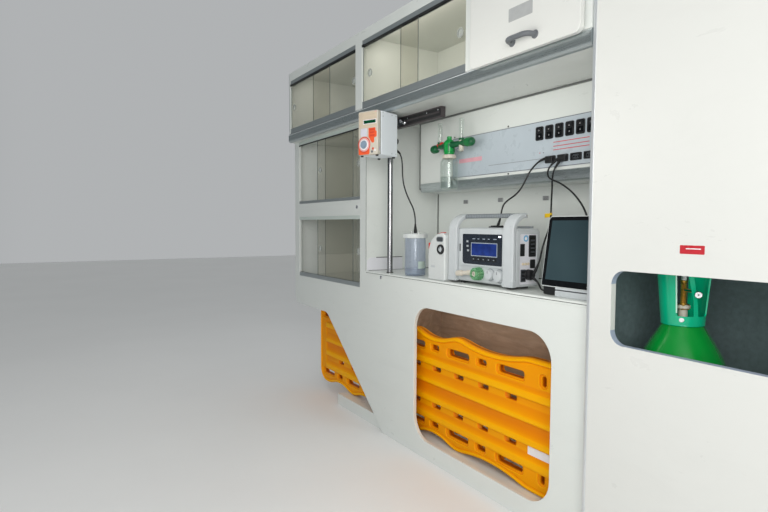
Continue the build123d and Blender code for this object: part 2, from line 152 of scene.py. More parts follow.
def finish(name, colour, shade=0.05, patch=6.0, rough=0.4, rough_by=0.08, rough_patch=22.0, grain=0.0, fine=900.0, metal=0.0,
           stretch=(1, 1, 1), spec=0.5, coat=0.0, coat_rough=0.06, tint=None, soft=0.0):
    """A plastic, paint or metal: slow shade changes, patchy gloss and a fine surface grain."""
    m = Mat(name)
    c = Vector(lin(colour))
    dark = c * (1 - shade) if tint is None else Vector(lin(tint))
    m.link(m.ramp(m.noise(patch, 4, 0.6, stretch), [(0.32, tuple(dark)), (0.68, tuple(min(1.0, v) for v in c * (1 + shade * 0.6)))]), m.b.inputs["Base Color"])
    m.link(m.span(m.noise(rough_patch, 4, 0.65, stretch), max(0.02, rough - rough_by), min(1.0, rough + rough_by)), m.b.inputs["Roughness"])
    if grain:
        m.bump(m.noise(fine, 2, 0.6, stretch), grain * MM, 1.0)
    m.b.inputs["Metallic"].default_value = metal
    m.b.inputs["Specular IOR Level"].default_value = spec
    m.b.inputs["Coat Weight"].default_value = coat
    m.b.inputs["Coat Roughness"].default_value = coat_rough
    if soft:
        m.b.inputs["Subsurface Weight"].default_value = soft
        m.b.inputs["Subsurface Radius"].default_value = (0.006, 0.004, 0.003)
    return m.m


def see_through(name, tint, body, share, rough=0.03, streak=0.0, gloss=0.75):
    """Thin clear sheet: mostly lets light straight through, with a glossy film on top."""
    m = Mat(name)
    clear = m.new("ShaderNodeBsdfTransparent")
    clear.inputs["Color"].default_value = (*lin(tint), 1)
    mixer = m.new("ShaderNodeMixShader")
    m.link(m.ramp(m.noise(9, 3), [(0.3, tuple(Vector(lin(body)) * 0.9)), (0.7, lin(body))]), m.b.inputs["Base Color"])
    m.link(m.span(m.noise(30, 4, 0.7), rough * 0.6, rough * 1.6), m.b.inputs["Roughness"])
    m.b.inputs["Specular IOR Level"].default_value = 0.6
    m.b.inputs["Metallic"].default_value = gloss
    fr = m.new("ShaderNodeLayerWeight")
    fr.inputs["Blend"].default_value = 0.5
    rise = m.new("ShaderNodeMath")
    rise.operation = "POWER"
    rise.inputs[1].default_value = 4.5
    m.link(fr.outputs["Facing"], rise.inputs[0])
    m.link(m.span(rise.outputs[0], share, 0.9, 0.0, 1.0), mixer.inputs[0])
    m.link(clear.outputs[0], mixer.inputs[1])
    m.link(m.b.outputs[0], mixer.inputs[2])
    m.link(mixer.outputs[0], m.out.inputs[0])
    if streak:
        m.bump(m.noise(60, 3, 0.6, (1, 1, 0.2)), streak * MM, 1.0)
    return m.m


def laminate(name, colour, smudge):
    """Satin high-pressure laminate: near-white, faintly clouded, wiped smudges in its gloss, a fine orange-peel."""
    m = Mat(name)
    c = Vector(lin(colour))
    cloud = m.ramp(m.noise(2.4, 5, 0.6), [(0.3, tuple(c * 0.985)), (0.7, tuple(c))])
    wipe = m.ramp(m.noise(7.5, 6, 0.7, (0.5, 1, 1.6), 0.8), [(0.5, (0, 0, 0)), (0.8, (0.45, 0.45, 0.45))])
    m.link(m.mix(wipe, cloud, tuple(Vector(lin(smudge)))), m.b.inputs["Base Color"])
    m.link(m.span(m.noise(13, 5, 0.7, (0.6, 1, 1.7), 0.5), 0.26, 0.44), m.b.inputs["Roughness"])
    n = m.bump(m.noise(420, 2, 0.5), 0.02 * MM, 0.8)
    m.b.inputs["Coat Weight"].default_value = 0.15
    m.b.inputs["Coat Roughness"].default_value = 0.18
    return m.m


def brushed(name, colour, rough=0.34, metal=0.9, along="x", shade=0.08):
    """Extruded, brushed and anodised aluminium: hair lines run along the extrusion."""
    m = Mat(name)
    c = Vector(lin(colour))
    s = {"x": (0.012, 1, 1), "z": (1, 1, 0.012)}[along]
    hair = m.noise(1500, 3, 0.6, s)
    m.link(m.mix(m.span(m.noise(5, 3), 0, 1), m.ramp(hair, [(0.35, tuple(c * (1 - shade))), (0.65, tuple(c))]),
                 m.ramp(hair, [(0.35, tuple(c * (1 - 1.6 * shade))), (0.65, tuple(c * 0.95))])), m.b.inputs["Base Color"])
    m.link(m.span(hair, rough - 0.02, rough + 0.03), m.b.inputs["Roughness"])
    m.bump(hair, 0.0012 * MM, 0.5)
    m.b.inputs["Metallic"].default_value = metal
    return m.m


def plywood(name):
    """Brown film-faced ply at the back of the bay: long soft streaks and worn, scuffed patches."""
    m = Mat(name)
    grain = m.noise(26, 6, 0.62, (0.16, 1, 1), 1.2)
    base = m.ramp(grain, [(0.25, lin((150, 126, 108))), (0.5, lin((172, 146, 124))), (0.75, lin((190, 164, 142)))])
    scuff = m.ramp(m.noise(4.5, 6, 0.72, (0.7, 1, 1.2), 0.6), [(0.45, (0, 0, 0)), (0.7, (0.8, 0.8, 0.8))])
    m.link(m.mix(scuff, base, lin((138, 124, 112))), m.b.inputs["Base Color"])
    m.link(m.span(m.noise(18, 4), 0.42, 0.62), m.b.inputs["Roughness"])
    m.bump(grain, 0.10 * MM, 0.8)
    return m.m


def chrome(name, colour=(206, 208, 212), rough=0.09):
    m = Mat(name)
    c = Vector(lin(colour))
    m.link(m.ramp(m.noise(14, 3), [(0.3, tuple(c * 0.92)), (0.7, tuple(c))]), m.b.inputs["Base Color"])
    m.link(m.span(m.noise(60, 5, 0.7), rough * 0.6, rough * 1.9), m.b.inputs["Roughness"])
    m.b.inputs["Metallic"].default_value = 1.0
    return m.m


def screen_glass(name):
    """Switched-off display: near-black glossy glass over a faintly blue panel."""
    m = Mat(name)
    m.link(m.ramp(m.noise(3.2, 2), [(0.3, lin((42, 58, 64))), (0.7, lin((58, 75, 80)))]), m.b.inputs["Base Color"])
    m.link(m.span(m.noise(34, 5, 0.7), 0.03, 0.09), m.b.inputs["Roughness"])
    m.b.inputs["Coat Weight"].default_value = 0.6
    m.b.inputs["Coat Roughness"].default_value = 0.03
    return m.m


def lcd(name, colour, dark, glow):
    """Lit character display: pale bars of plain blank segments on a coloured ground."""
    m = Mat(name)
    m.link(m.ramp(m.noise(40, 2, 0.5), [(0.3, lin(dark)), (0.7, lin(colour))]), m.b.inputs["Base Color"])
    m.link(m.span(m.noise(80, 2), 0.08, 0.16), m.b.inputs["Roughness"])
    m.b.inputs["Emission Color"].default_value = (*lin(colour), 1)
    m.b.inputs["Emission Strength"].default_value = glow
    return m.m


LAM = laminate("laminate_white", (222, 226, 222), (212, 216, 212))
LAM_FRONT = laminate("laminate_front", (218, 219, 215), (211, 212, 208))
LAM_IN = laminate("laminate_inside", (212, 215, 210), (208, 211, 206))
PLY = plywood("bay_plywood")
ALU = brushed("aluminium_brushed", (186, 194, 195), 0.28, 0.8, shade=0.03)
ALU_DARK = brushed("aluminium_dark_anodised", (96, 106, 108), 0.36)
ALU_POST = brushed("aluminium_post", (226, 230, 233), 0.36, 0.6, along="z")
# a paler copy of the aluminium, used as a painted highlight on the bullnose's upper faces
ALU_HIGHLIGHT = brushed("aluminium_painted_highlight", (240, 244, 245), 0.2, 0.35, shade=0.02)
TRACK = brushed("track_grey", (168, 175, 177), 0.36, 0.6)
TRACK_PALE = finish("track_pale", (196, 206, 200), 0.05, 8, 0.42, 0.06, grain=0.02)
PANE = see_through("acrylic_sheet", (251, 250, 247), (226, 226, 220), 0.035, 0.02)
PANE_EDGE = finish("acrylic_edge", (104, 112, 110), 0.12, 20, 0.2, 0.06, spec=0.6)
RING = see_through("acrylic_ring", (246, 248, 246), (240, 242, 240), 0.28, 0.05, gloss=0.2)
WATER = see_through("clear_low", (247, 250, 249), (226, 234, 230), 0.03, 0.05)
LINING = finish("lining_carpet", (98, 116, 118), 0.16, 60, 0.75, 0.08, grain=0.25, fine=700)
BLACK = finish("plastic_black", (25, 26, 28), 0.2, 30, 0.42, 0.1, grain=0.05, fine=1100)
BLACK_GLOSS = finish("plastic_black_gloss", (17, 18, 20), 0.2, 30, 0.16, 0.06, grain=0.01)
RUBBER = finish("rubber_black", (30, 31, 32), 0.2, 40, 0.62, 0.1, grain=0.08, fine=900)
DGREY = finish("plastic_dark_grey", (66, 70, 74), 0.1, 25, 0.4, 0.08, grain=0.05, fine=1000)
MGREY = finish("plastic_mid_grey", (132, 138, 142), 0.08, 25, 0.4, 0.08, grain=0.04, fine=1000)
LGREY = finish("plastic_light_grey", (184, 190, 192), 0.06, 25, 0.4, 0.08, grain=0.04, fine=1000)
WHITE = finish("plastic_white", (203, 207, 206), 0.035, 14, 0.34, 0.07, grain=0.03, fine=1100, spec=0.5, soft=0.04)
CREAM = finish("plastic_cream", (200, 194, 181), 0.04, 14, 0.36, 0.07, grain=0.03, fine=1100, soft=0.05)
STEEL = chrome("steel_bright")
CHROME_POLE = chrome("steel_tube", (166, 166, 168), 0.16)
GREEN = finish("plastic_green", (8, 148, 66), 0.14, 30, 0.26, 0.07, grain=0.03, fine=800, coat=0.2)
GREEN_DARK = finish("plastic_green_dark", (14, 92, 52), 0.16, 30, 0.34, 0.08, grain=0.05, fine=700)
GREEN_CLEAR = see_through("clear_green", (212, 238, 214), (150, 212, 166), 0.3, 0.12, gloss=0.1)
ENAMEL = finish("enamel_green", (2, 138, 50), 0.12, 7, 0.2, 0.06, grain=0.06, fine=160, coat=0.5)
ENAMEL_TEAL = finish("enamel_teal", (0, 176, 130), 0.1, 7, 0.22, 0.06, grain=0.06, fine=160, coat=0.5)
BRASS = finish("brass_machined", (206, 158, 72), 0.16, 40, 0.38, 0.1, metal=0.75, grain=0.03, fine=500)
# pale green for the guard's rolled edge: a painted highlight
BEAD_HIGHLIGHT = finish("bead_painted_highlight", (190, 226, 208), 0.06, 30, 0.25, 0.06, grain=0.01)
CLEAR = see_through("clear_moulded", (250, 252, 251), (232, 238, 236), 0.07, 0.06, streak=0.05)
JAR = see_through("jar_bluish", (245, 247, 251), (216, 224, 236), 0.13, 0.12, streak=0.15, gloss=0.25)
PLATE = finish("plate_lilac", (186, 196, 203), 0.03, 9, 0.3, 0.06, grain=0.01)
INK_GREY = finish("ink_grey", (104, 106, 112), 0.1, 40, 0.5, 0.05)
INK_PINK = finish("ink_pink", (226, 170, 180), 0.06, 40, 0.4, 0.05)
INK_RED = finish("ink_red", (206, 66, 74), 0.08, 40, 0.4, 0.05)
INK_TEAL = finish("ink_teal", (62, 172, 186), 0.06, 40, 0.4, 0.05)
LABEL_RED = finish("label_red", (188, 44, 54), 0.06, 40, 0.3, 0.06)
LABEL_WHITE = finish("label_white", (232, 230, 232), 0.04, 60, 0.35, 0.06)
LABEL_GREY = finish("label_grey", (170, 172, 172), 0.05, 60, 0.4, 0.06)
RED = finish("plastic_red", (204, 44, 34), 0.12, 30, 0.32, 0.07, grain=0.03, fine=900)
RED_ORANGE = finish("membrane_red", (236, 96, 54), 0.08, 40, 0.38, 0.06, grain=0.02)
PINK = finish("membrane_pink", (226, 168, 164), 0.06, 40, 0.38, 0.06, grain=0.02)
TAN = finish("membrane_tan", (214, 200, 176), 0.06, 40, 0.4, 0.06, grain=0.02)
LILAC = finish("membrane_lilac", (208, 207, 217), 0.05, 40, 0.4, 0.06, grain=0.02)
BLUE_GREY = finish("dial_blue_grey", (134, 152, 170), 0.1, 60, 0.34, 0.06, grain=0.04)
YELLOW = finish("tag_yellow", (214, 176, 20), 0.08, 60, 0.4, 0.06, grain=0.03)
SCREEN = screen_glass("display_glass")
LCD_BLUE = lcd("lcd_blue", (28, 52, 124), (18, 34, 88), 0.14)
LCD_GREEN = lcd("lcd_green", (8, 74, 46), (4, 50, 30), 0.06)
CABLE = finish("cable_sheath", (20, 21, 22), 0.15, 50, 0.36, 0.08, grain=0.03, fine=900)
PUMP_SHELL = finish("pump_shell", (234, 240, 245), 0.035, 9, 0.36, 0.07, grain=0.04, fine=1000)
WHITE_COOL = finish("plastic_white_cool", (190, 195, 197), 0.035, 12, 0.34, 0.07, grain=0.03, fine=1000)
MEMBRANE = finish("membrane_cream", (208, 192, 170), 0.03, 30, 0.32, 0.05, grain=0.01)
RED_DEEP = finish("membrane_deep_red", (212, 76, 50), 0.1, 40, 0.36, 0.06, grain=0.02)
INK_LILAC = finish("ink_lilac", (186, 170, 190), 0.05, 40, 0.45, 0.05)
JAR_LOW = see_through("jar_foot", (236, 241, 246), (190, 204, 216), 0.16, 0.12, gloss=0.3)
LABEL_PALE = finish("label_pale_green", (176, 192, 184), 0.05, 40, 0.4, 0.05)
CLEAR_WHITE = see_through("clear_white", (240, 243, 241), (232, 236, 233), 0.5, 0.12, gloss=0.1)
NAVY = finish("bezel_navy", (34, 40, 50), 0.12, 26, 0.24, 0.06, grain=0.01, coat=0.3)
LCD_RIM = finish("lcd_rim", (150, 160, 170), 0.06, 60, 0.4, 0.05)
SIDE_LILAC = finish("side_panel_lilac", (222, 222, 228), 0.03, 20, 0.4, 0.05, grain=0.02)
BLUE_PALE = finish("plastic_pale_blue", (120, 178, 214), 0.08, 40, 0.3, 0.05)
DGREY_SOFT = finish("grip_grey", (104, 112, 116), 0.08, 40, 0.55, 0.08, grain=0.06, fine=700)
GRIP_GREY = finish("handle_grey", (100, 104, 108), 0.08, 25, 0.4, 0.08, grain=0.05, fine=1000)
# blue-grey for the window's cut edges: painted shade on the white board's edge
CUT_EDGE_SHADE = finish("cut_edge_painted_shade", (160, 171, 190), 0.05, 18, 0.4, 0.06, grain=0.03)
# dark strips for joints, also used as painted shade in inside corners and under edges
SEAM_AND_SHADE = finish("seam_and_painted_shade", (62, 64, 60), 0.1, 30, 0.6, 0.06)
GLOW_WHITE = lcd("lamp_white", (240, 244, 250), (236, 240, 248), 1.2)
COVER = finish("cover_white", (224, 224, 229), 0.03, 12, 0.34, 0.06, grain=0.02)
RAIL = finish("rail_charcoal", (64, 58, 60), 0.14, 30, 0.44, 0.1, grain=0.05, fine=1100)
EDGE_GREY = finish("edge_grey", (112, 115, 113), 0.08, 30, 0.4, 0.08, metal=0.3, grain=0.02)


def hdpe(name):
    """Rotation-moulded polyethylene: saturated, waxy, a slightly sunk and pebbled skin, paler on its convex edges,
    partly rubbed wear and partly painted highlight.
    """
    m = Mat(name)
    slow = m.noise(3.2, 4, 0.6)
    base = m.ramp(slow, [(0.3, lin((244, 156, 0))), (0.7, lin((250, 172, 0)))])
    geo = m.new("ShaderNodeNewGeometry")
    # rubbed wear and painted highlight: the pointed convex edges and crests turn paler
    rub_and_highlight = m.ramp(geo.outputs["Pointiness"], [(0.50, (0, 0, 0)), (0.56, (0.6, 0.6, 0.6))])
    # painted shade: the skin turns a deeper orange the deeper it lies in the ribs, and dark brown-orange down in the
    # pockets and holes
    cut = m.new("ShaderNodeSeparateXYZ")
    m.link(m.where(), cut.inputs[0])
    away = m.new("ShaderNodeMath")
    away.operation = "ADD"
    away.inputs[1].default_value = 0.063
    m.link(cut.outputs[1], away.inputs[0])
    size = m.new("ShaderNodeMath")
    size.operation = "ABSOLUTE"
    m.link(away.outputs[0], size.inputs[0])
    skin = m.mix(m.span(size.outputs[0], 0.0, 1.0, 0.0105, 0.0215), lin((228, 126, 0)), base)
    painted_hole_shade = m.mix(m.span(size.outputs[0], 0.0, 1.0, 0.0, 0.0105), lin((150, 62, 4)), skin)
    m.link(m.mix(rub_and_highlight, painted_hole_shade, lin((255, 200, 0))), m.b.inputs["Base Color"])
    m.link(m.span(m.noise(26, 5, 0.7), 0.42, 0.6), m.b.inputs["Roughness"])
    m.bump(m.noise(260, 3, 0.6), 0.09 * MM, 0.8)
    m.b.inputs["Specular IOR Level"].default_value = 0.12
    m.b.inputs["Subsurface Weight"].default_value = 0.08
    m.b.inputs["Subsurface Radius"].default_value = (0.010, 0.004, 0.001)
    return m.m


ORANGE = hdpe("polyethylene_orange")

SLOT = {
    "laminate_white": "white_laminate", "laminate_front": "white_laminate", "laminate_inside": "white_laminate", "bay_plywood": "bay_board",
    "aluminium_brushed": "aluminium", "aluminium_painted_highlight": "aluminium", "aluminium_post": "aluminium", "aluminium_dark_anodised": "track_grey", "track_grey": "track_grey",
    "track_pale": "track_light", "acrylic_sheet": "clear_acrylic", "acrylic_ring": "clear_acrylic", "lining_carpet": "dark_lining",
    "plastic_black": "black_plastic", "plastic_black_gloss": "black_plastic", "rubber_black": "black_plastic", "plastic_dark_grey": "dark_grey_plastic",
    "plastic_white": "white_plastic", "plastic_cream": "white_plastic", "steel_bright": "chrome", "steel_tube": "chrome", "plastic_green": "green_plastic",
    "enamel_green": "green_paint", "enamel_teal": "green_paint", "brass_machined": "brass", "polyethylene_orange": "orange_plastic",
    "clear_moulded": "clear_plastic", "jar_bluish": "jar_plastic", "plate_lilac": "plate_print", "display_glass": "screen", "cable_sheath": "cable_black",
    "pump_shell": "white_plastic", "plastic_white_cool": "white_plastic",
}


# ---------------------------------------------------------------- shapes, in millimetres
def arc(cx, cz, r, a0, a1, n):
    return [(cx + r * math.cos(math.radians(a0 + (a1 - a0) * i / n)), cz + r * math.sin(math.radians(a0 + (a1 - a0) * i / n))) for i in range(n + 1)]


def rrect(x0, z0, x1, z1, r, n=6):
    """A rectangle with rounded corners, counter-clockwise. r is one radius or four, from the lower left round."""
    r = [r] * 4 if not hasattr(r, "__len__") else list(r)
    r = [max(0.02, min(v, (x1 - x0) / 2 - 0.01, (z1 - z0) / 2 - 0.01)) for v in r]
    return (arc(x0 + r[0], z0 + r[0], r[0], 180, 270, n) + arc(x1 - r[1], z0 + r[1], r[1], 270, 360, n)
            + arc(x1 - r[2], z1 - r[2], r[2], 0, 90, n) + arc(x0 + r[3], z1 - r[3], r[3], 90, 180, n))


def circle(cx, cz, r, n=32):
    return arc(cx, cz, r, 0, 360 * (n - 1) / n, n - 1)


def rounded(points, radii, n=6, room=0.49):
    """A polygon with rounded corners."""
    out = []
    k = len(points)
    radii = [radii] * k if not hasattr(radii, "__len__") else radii
    for i in range(k):
        p, a, b = Vector(points[i]), Vector(points[i - 1]), Vector(points[(i + 1) % k])
        u, v = (a - p).normalized(), (b - p).normalized()
        half = math.acos(max(-1, min(1, u.dot(v)))) / 2
        r = radii[i]
        if r <= 0:
            out.append(tuple(p))
            continue
        d = min(r / math.tan(half), (a - p).length * room, (b - p).length * room)
        r = d * math.tan(half)
        c = p + (u + v).normalized() * (r / math.sin(half))
        s, e = p + u * d - c, p + v * d - c
        a0, a1 = math.atan2(s.y, s.x), math.atan2(e.y, e.x)
        while a1 - a0 > math.pi:
            a1 -= 2 * math.pi
        while a1 - a0 < -math.pi:
            a1 += 2 * math.pi
        out += [(c.x + r * math.cos(a0 + (a1 - a0) * j / n), c.y + r * math.sin(a0 + (a1 - a0) * j / n)) for j in range(n + 1)]
    return out


def area2(poly):
    return sum(poly[i - 1][0] * poly[i][1] - poly[i][0] * poly[i - 1][1] for i in range(len(poly))) / 2


def inset(poly, d):
    """Moves a counter-clockwise polygon's edges inwards by d."""
    out = []
    k = len(poly)
    for i in range(k):
        p = Vector(poly[i])
        e0, e1 = p - Vector(poly[i - 1]), Vector(poly[(i + 1) % k]) - p
        if e0.length < 1e-7 or e1.length < 1e-7:
            e0 = e1 = e0 if e0.length > e1.length else e1
        n0, n1 = Vector((-e0.y, e0.x)).normalized(), Vector((-e1.y, e1.x)).normalized()
        m = n0 + n1
        m = m / max(0.35, m.length_squared) * 2 if m.length > 1e-6 else n0
        out.append((p.x + m.x * d, p.y + m.y * d))
    return out


def inside(points, poly):
    x, y = points[:, 0], points[:, 1]
    hit = np.zeros(len(points), bool)
    for i in range(len(poly)):
        (x0, y0), (x1, y1) = poly[i - 1], poly[i]
        if y0 == y1:
            continue
        cross = ((y0 > y) != (y1 > y)) & (x < (x1 - x0) * (y - y0) / (y1 - y0) + x0)
        hit ^= cross
    return hit


def fill(outline, holes=(), loops=(), points=()):
    """Triangles that fill an outline with holes. loops are more closed lines that edges follow. Returns the points and triangles."""
    verts, edges = [], []
    for loop in [outline, *holes, *loops]:
        k = len(verts)
        verts += [Vector(p) for p in loop]
        edges += [(k + i, k + (i + 1) % len(loop)) for i in range(len(loop))]
    verts += [Vector(p) for p in points]
    v, _, f, *_ = geometry.delaunay_2d_cdt(verts, edges, [], 0, 1e-5)
    v = np.array([tuple(p) for p in v])
    f = np.array(f)
    mid = v[f].mean(axis=1)
    keep = inside(mid, outline)
    for h in holes:
        keep &= ~inside(mid, h)
    return v, f[keep]


PLANES = {"x": lambda a, b, d: (d, a, b), "y": lambda a, b, d: (a, d, b), "z": lambda a, b, d: (a, b, d)}


class Piece:
    """One visible piece, put together from rounded solids. Sizes are in millimetres and its mesh is in metres."""

    def __init__(self, name):
        self.name, self.bm, self.mats, self.at = name, bmesh.new(), [], None

    def take(self, b, mat, smooth=True):
        if mat not in self.mats:
            self.mats.append(mat)
        k = self.mats.index(mat)
        bmesh.ops.recalc_face_normals(b, faces=b.faces)
        for f in b.faces:
            f.material_index = k
            f.smooth = smooth
        me = bpy.data.meshes.new("part")
        b.to_mesh(me)
        b.free()
        self.bm.from_mesh(me)
        bpy.data.meshes.remove(me)
        return self

    def box(self, a, b, mat, r=1.0, seg=2, turn=None, about=None):
        t = bmesh.new()
        bmesh.ops.create_cube(t, size=1)
        lo, hi = Vector(map(min, a, b)), Vector(map(max, a, b))
        for v in t.verts:
            v.co = Vector(((v.co[i] + 0.5) * (hi[i] - lo[i]) + lo[i]) for i in range(3))
        r = min(r, min(hi - lo) * 0.49)
        if r > 0:
            bmesh.ops.bevel(t, geom=t.edges[:], offset=r, offset_type="OFFSET", segments=seg, profile=0.5, affect="EDGES", clamp_overlap=True)
        if turn is not None:
            c = Vector(about) if about is not None else (lo + hi) / 2
            bmesh.ops.transform(t, matrix=Matrix.Translation(c) @ turn @ Matrix.Translation(-c), verts=t.verts)
        return self.take(t, mat)

    def lathe(self, p, d, prof, mat, n=40):
        """prof is radius and height along d from p."""
        t = bmesh.new()
        d = Vector(d).normalized()
        side = d.orthogonal().normalized()
        up = d.cross(side)
        rings = []
        for r, h in prof:
            c = Vector(p) + d * h
            if r <= 1e-6:
                rings.append([t.verts.new(c)])
            else:
                rings.append([t.verts.new(c + (side * math.cos(2 * math.pi * i / n) + up * math.sin(2 * math.pi * i / n)) * r) for i in range(n)])
        for a, b in zip(rings, rings[1:]):
            for i in range(n):
                j = (i + 1) % n
                if len(a) == 1 and len(b) == 1:
                    continue
                if len(a) == 1:
                    t.faces.new((a[0], b[i], b[j]))
                elif len(b) == 1:
                    t.faces.new((a[i], b[0], a[j]))
                else:
                    t.faces.new((a[i], a[j], b[j], b[i]))
        if len(rings[0]) > 1 and len(rings[-1]) > 1 and (Vector(prof[0]) - Vector(prof[-1])).length < 1e-6:
            bmesh.ops.remove_doubles(t, verts=t.verts, dist=1e-5)
        return self.take(t, mat)

    def rod(self, p0, p1, r0, mat, r1=None, e=0.6, n=32):
        p0, p1 = Vector(p0), Vector(p1)
        L, r1 = (p1 - p0).length, r0 if r1 is None else r1
        e = min(e, L * 0.45, min(r0, r1) * 0.6)
        k = e * 0.3
        return self.lathe(p0, p1 - p0, [(0, 0), (r0 - e, 0), (r0 - k, k), (r0, e), (r1, L - e), (r1 - k, L - k), (r1 - e, L), (0, L)], mat, n)

    def slab(self, outline, axis, d0, d1, mat, holes=(), r=0.8, back=True, seg=2):
        """A plate in the plane across axis, from d0, its front with rounded edges, to d1."""
        t = bmesh.new()
        to = PLANES[axis]
        if area2(outline) < 0:
            outline = outline[::-1]
        holes = [h if area2(h) > 0 else h[::-1] for h in holes]
        s = 1 if d1 > d0 else -1
        r = min(r, abs(d1 - d0) * 0.45)
        steps = [(r * (1 - math.sin(math.pi / 2 * i / seg)), r * (1 - math.cos(math.pi / 2 * i / seg))) for i in range(seg + 1)][::-1] if r > 0 else [(0, 0)]
        steps = [(r * (1 - math.cos(math.pi / 2 * (1 - i / seg))), r * (1 - math.sin(math.pi / 2 * (1 - i / seg)))) for i in range(seg + 1)] if r > 0 else [(0, 0)]
        # steps: (inset, depth) from the face edge out to the full outline
        steps = sorted(steps, key=lambda q: q[1])
        rings_of = []
        for loop, sign in [(outline, 1)] + [(h, -1) for h in holes]:
            rings = []
            for ins, dep in steps:
                rings.append([t.verts.new(to(*q, d0 + s * dep)) for q in inset(loop, sign * ins)])
            if back and r > 0:
                for ins, dep in steps[::-1]:
                    rings.append([t.verts.new(to(*q, d1 - s * dep)) for q in inset(loop, sign * ins)])
            else:
                rings.append([t.verts.new(to(*q, d1)) for q in loop])
            for a, b in zip(rings, rings[1:]):
                for i in range(len(a)):
                    j = (i + 1) % len(a)
                    t.faces.new((a[i], a[j], b[j], b[i]))
            rings_of.append(rings)
        for end, ins in ((0, steps[0][0]), (-1, steps[0][0] if back and r > 0 else 0)):
            v, f = fill(inset(outline, ins), [inset(h, -ins) for h in holes])
            depth = d0 if end == 0 else d1
            made = [t.verts.new(to(*q, depth)) for q in v]
            for tri in f:
                t.faces.new([made[i] for i in tri])
        bmesh.ops.remove_doubles(t, verts=t.verts, dist=1e-3)
        return self.take(t, mat)

    def tube(self, pts, rad, mat, n=14, caps=True):
        """A round bar along points. rad is one radius or one for each point."""
        t = bmesh.new()
        pts = [Vector(p) for p in pts]
        rad = [rad] * len(pts) if not hasattr(rad, "__len__") else rad
        tang = [((pts[min(i + 1, len(pts) - 1)] - pts[i]).normalized() + (pts[i] - pts[max(i - 1, 0)]).normalized()).normalized() for i in range(len(pts))]
        side = tang[0].orthogonal().normalized()
        rings = []
        for p, d, r in zip(pts, tang, rad):
            side = (side - d * side.dot(d)).normalized()
            up = d.cross(side)
            rings.append([t.verts.new(p + (side * math.cos(2 * math.pi * i / n) + up * math.sin(2 * math.pi * i / n)) * r) for i in range(n)])
        for a, b in zip(rings, rings[1:]):
            for i in range(n):
                j = (i + 1) % n
                t.faces.new((a[i], a[j], b[j], b[i]))
        if caps:
            t.faces.new(rings[0])
            t.faces.new(rings[-1])
        return self.take(t, mat)

    def ball(self, c, r, mat, n=20, squash=(1, 1, 1)):
        t = bmesh.new()
        bmesh.ops.create_uvsphere(t, u_segments=n, v_segments=n // 2, radius=1)
        for v in t.verts:
            v.co = Vector(c) + Vector((v.co.x * r * squash[0], v.co.y * r * squash[1], v.co.z * r * squash[2]))
        return self.take(t, mat)

    def ring(self, c, d, R, r, mat, n=40, m=10):
        return self.lathe(c, d, [(R + r * math.cos(2 * math.pi * i / m), r * math.sin(2 * math.pi * i / m)) for i in range(m + 1)], mat, n)

    def screw(self, p, d, r, mat=None, h=1.2):
        """A pan-head screw with a cross recess, its head standing h proud along d."""
        mat = STEEL if mat is None else mat
        p, d = Vector(p), Vector(d).normalized()
        self.lathe(p, d, [(r, -0.4), (r, h * 0.35), (r * 0.86, h * 0.8), (r * 0.45, h), (0, h)], mat, 20)
        a = d.orthogonal().normalized()
        b = d.cross(a)
        for s, w in ((a, b), (b, a)):
            c = p + d * (h + 0.02)
            q = [c + s * r * 0.55 + w * r * 0.11, c + s * r * 0.55 - w * r * 0.11, c - s * r * 0.55 - w * r * 0.11, c - s * r * 0.55 + w * r * 0.11]
            t = bmesh.new()
            lo = [t.verts.new(x) for x in q]
            hi = [t.verts.new(x - d * 0.5) for x in q]
            t.faces.new(lo)
            t.faces.new(hi[::-1])
            for i in range(4):
                t.faces.new((lo[i], hi[i], hi[(i + 1) % 4], lo[(i + 1) % 4]))
            self.take(t, BLACK, False)
        return self

    def done(self, body="cabinet", replaces=(), slot=None, sharp=35):
        me = bpy.data.meshes.new(self.name)
        if self.at is not None:
            bmesh.ops.transform(self.bm, matrix=self.at, verts=self.bm.verts)
        bmesh.ops.scale(self.bm, vec=(MM, MM, MM), verts=self.bm.verts)
        self.bm.to_mesh(me)
        self.bm.free()
        for m in self.mats:
            me.materials.append(m)
        me.set_sharp_from_angle(angle=math.radians(sharp))
        o = bpy.data.objects.new(self.name, me)
        bpy.context.scene.collection.objects.link(o)
        w = o.modifiers.new("normals", "WEIGHTED_NORMAL")
        w.keep_sharp = True
        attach(o, body)
        if replaces:
            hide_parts(*([replaces] if isinstance(replaces, str) else replaces))
        s = slot or next((SLOT[m.name] for m in self.mats if m.name in SLOT), None)
        return o


NODE_OF = frame["nodes"]


def refine(node, mat, bevel=0.8, seg=2, angle=30, by_face=None, name=None):
    """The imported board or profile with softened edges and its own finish. by_face(centre, normal) may pick another finish for a face."""
    src = NODE_OF[node]
    bm = bmesh.new()
    bm.from_mesh(src.data)
    bmesh.ops.remove_doubles(bm, verts=bm.verts, dist=3e-6)
    bmesh.ops.dissolve_limit(bm, angle_limit=math.radians(0.6), verts=bm.verts, edges=bm.edges)
    if bevel > 0:
        edges = [e for e in bm.edges if len(e.link_faces) == 2 and e.calc_face_angle(0) > math.radians(angle)]
        bmesh.ops.bevel(bm, geom=edges, offset=bevel * MM, offset_type="OFFSET", segments=seg, profile=0.5, affect="EDGES", clamp_overlap=True)
    mats = [mat]
    for f in bm.faces:
        f.smooth = True
        if by_face is not None:
            m = by_face(f.calc_center_median() / MM, f.normal)
            if m is not None:
                if m not in mats:
                    mats.append(m)
                f.material_index = mats.index(m)
    me = bpy.data.meshes.new(name or node + "_finished")
    bm.to_mesh(me)
    bm.free()
    for m in mats:
        me.materials.append(m)
    me.set_sharp_from_angle(angle=math.radians(38))
    o = bpy.data.objects.new(name or node + "_finished", me)
    bpy.context.scene.collection.objects.link(o)
    o.modifiers.new("normals", "WEIGHTED_NORMAL").keep_sharp = True
    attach(o, src["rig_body"])
    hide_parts(node)
    return o


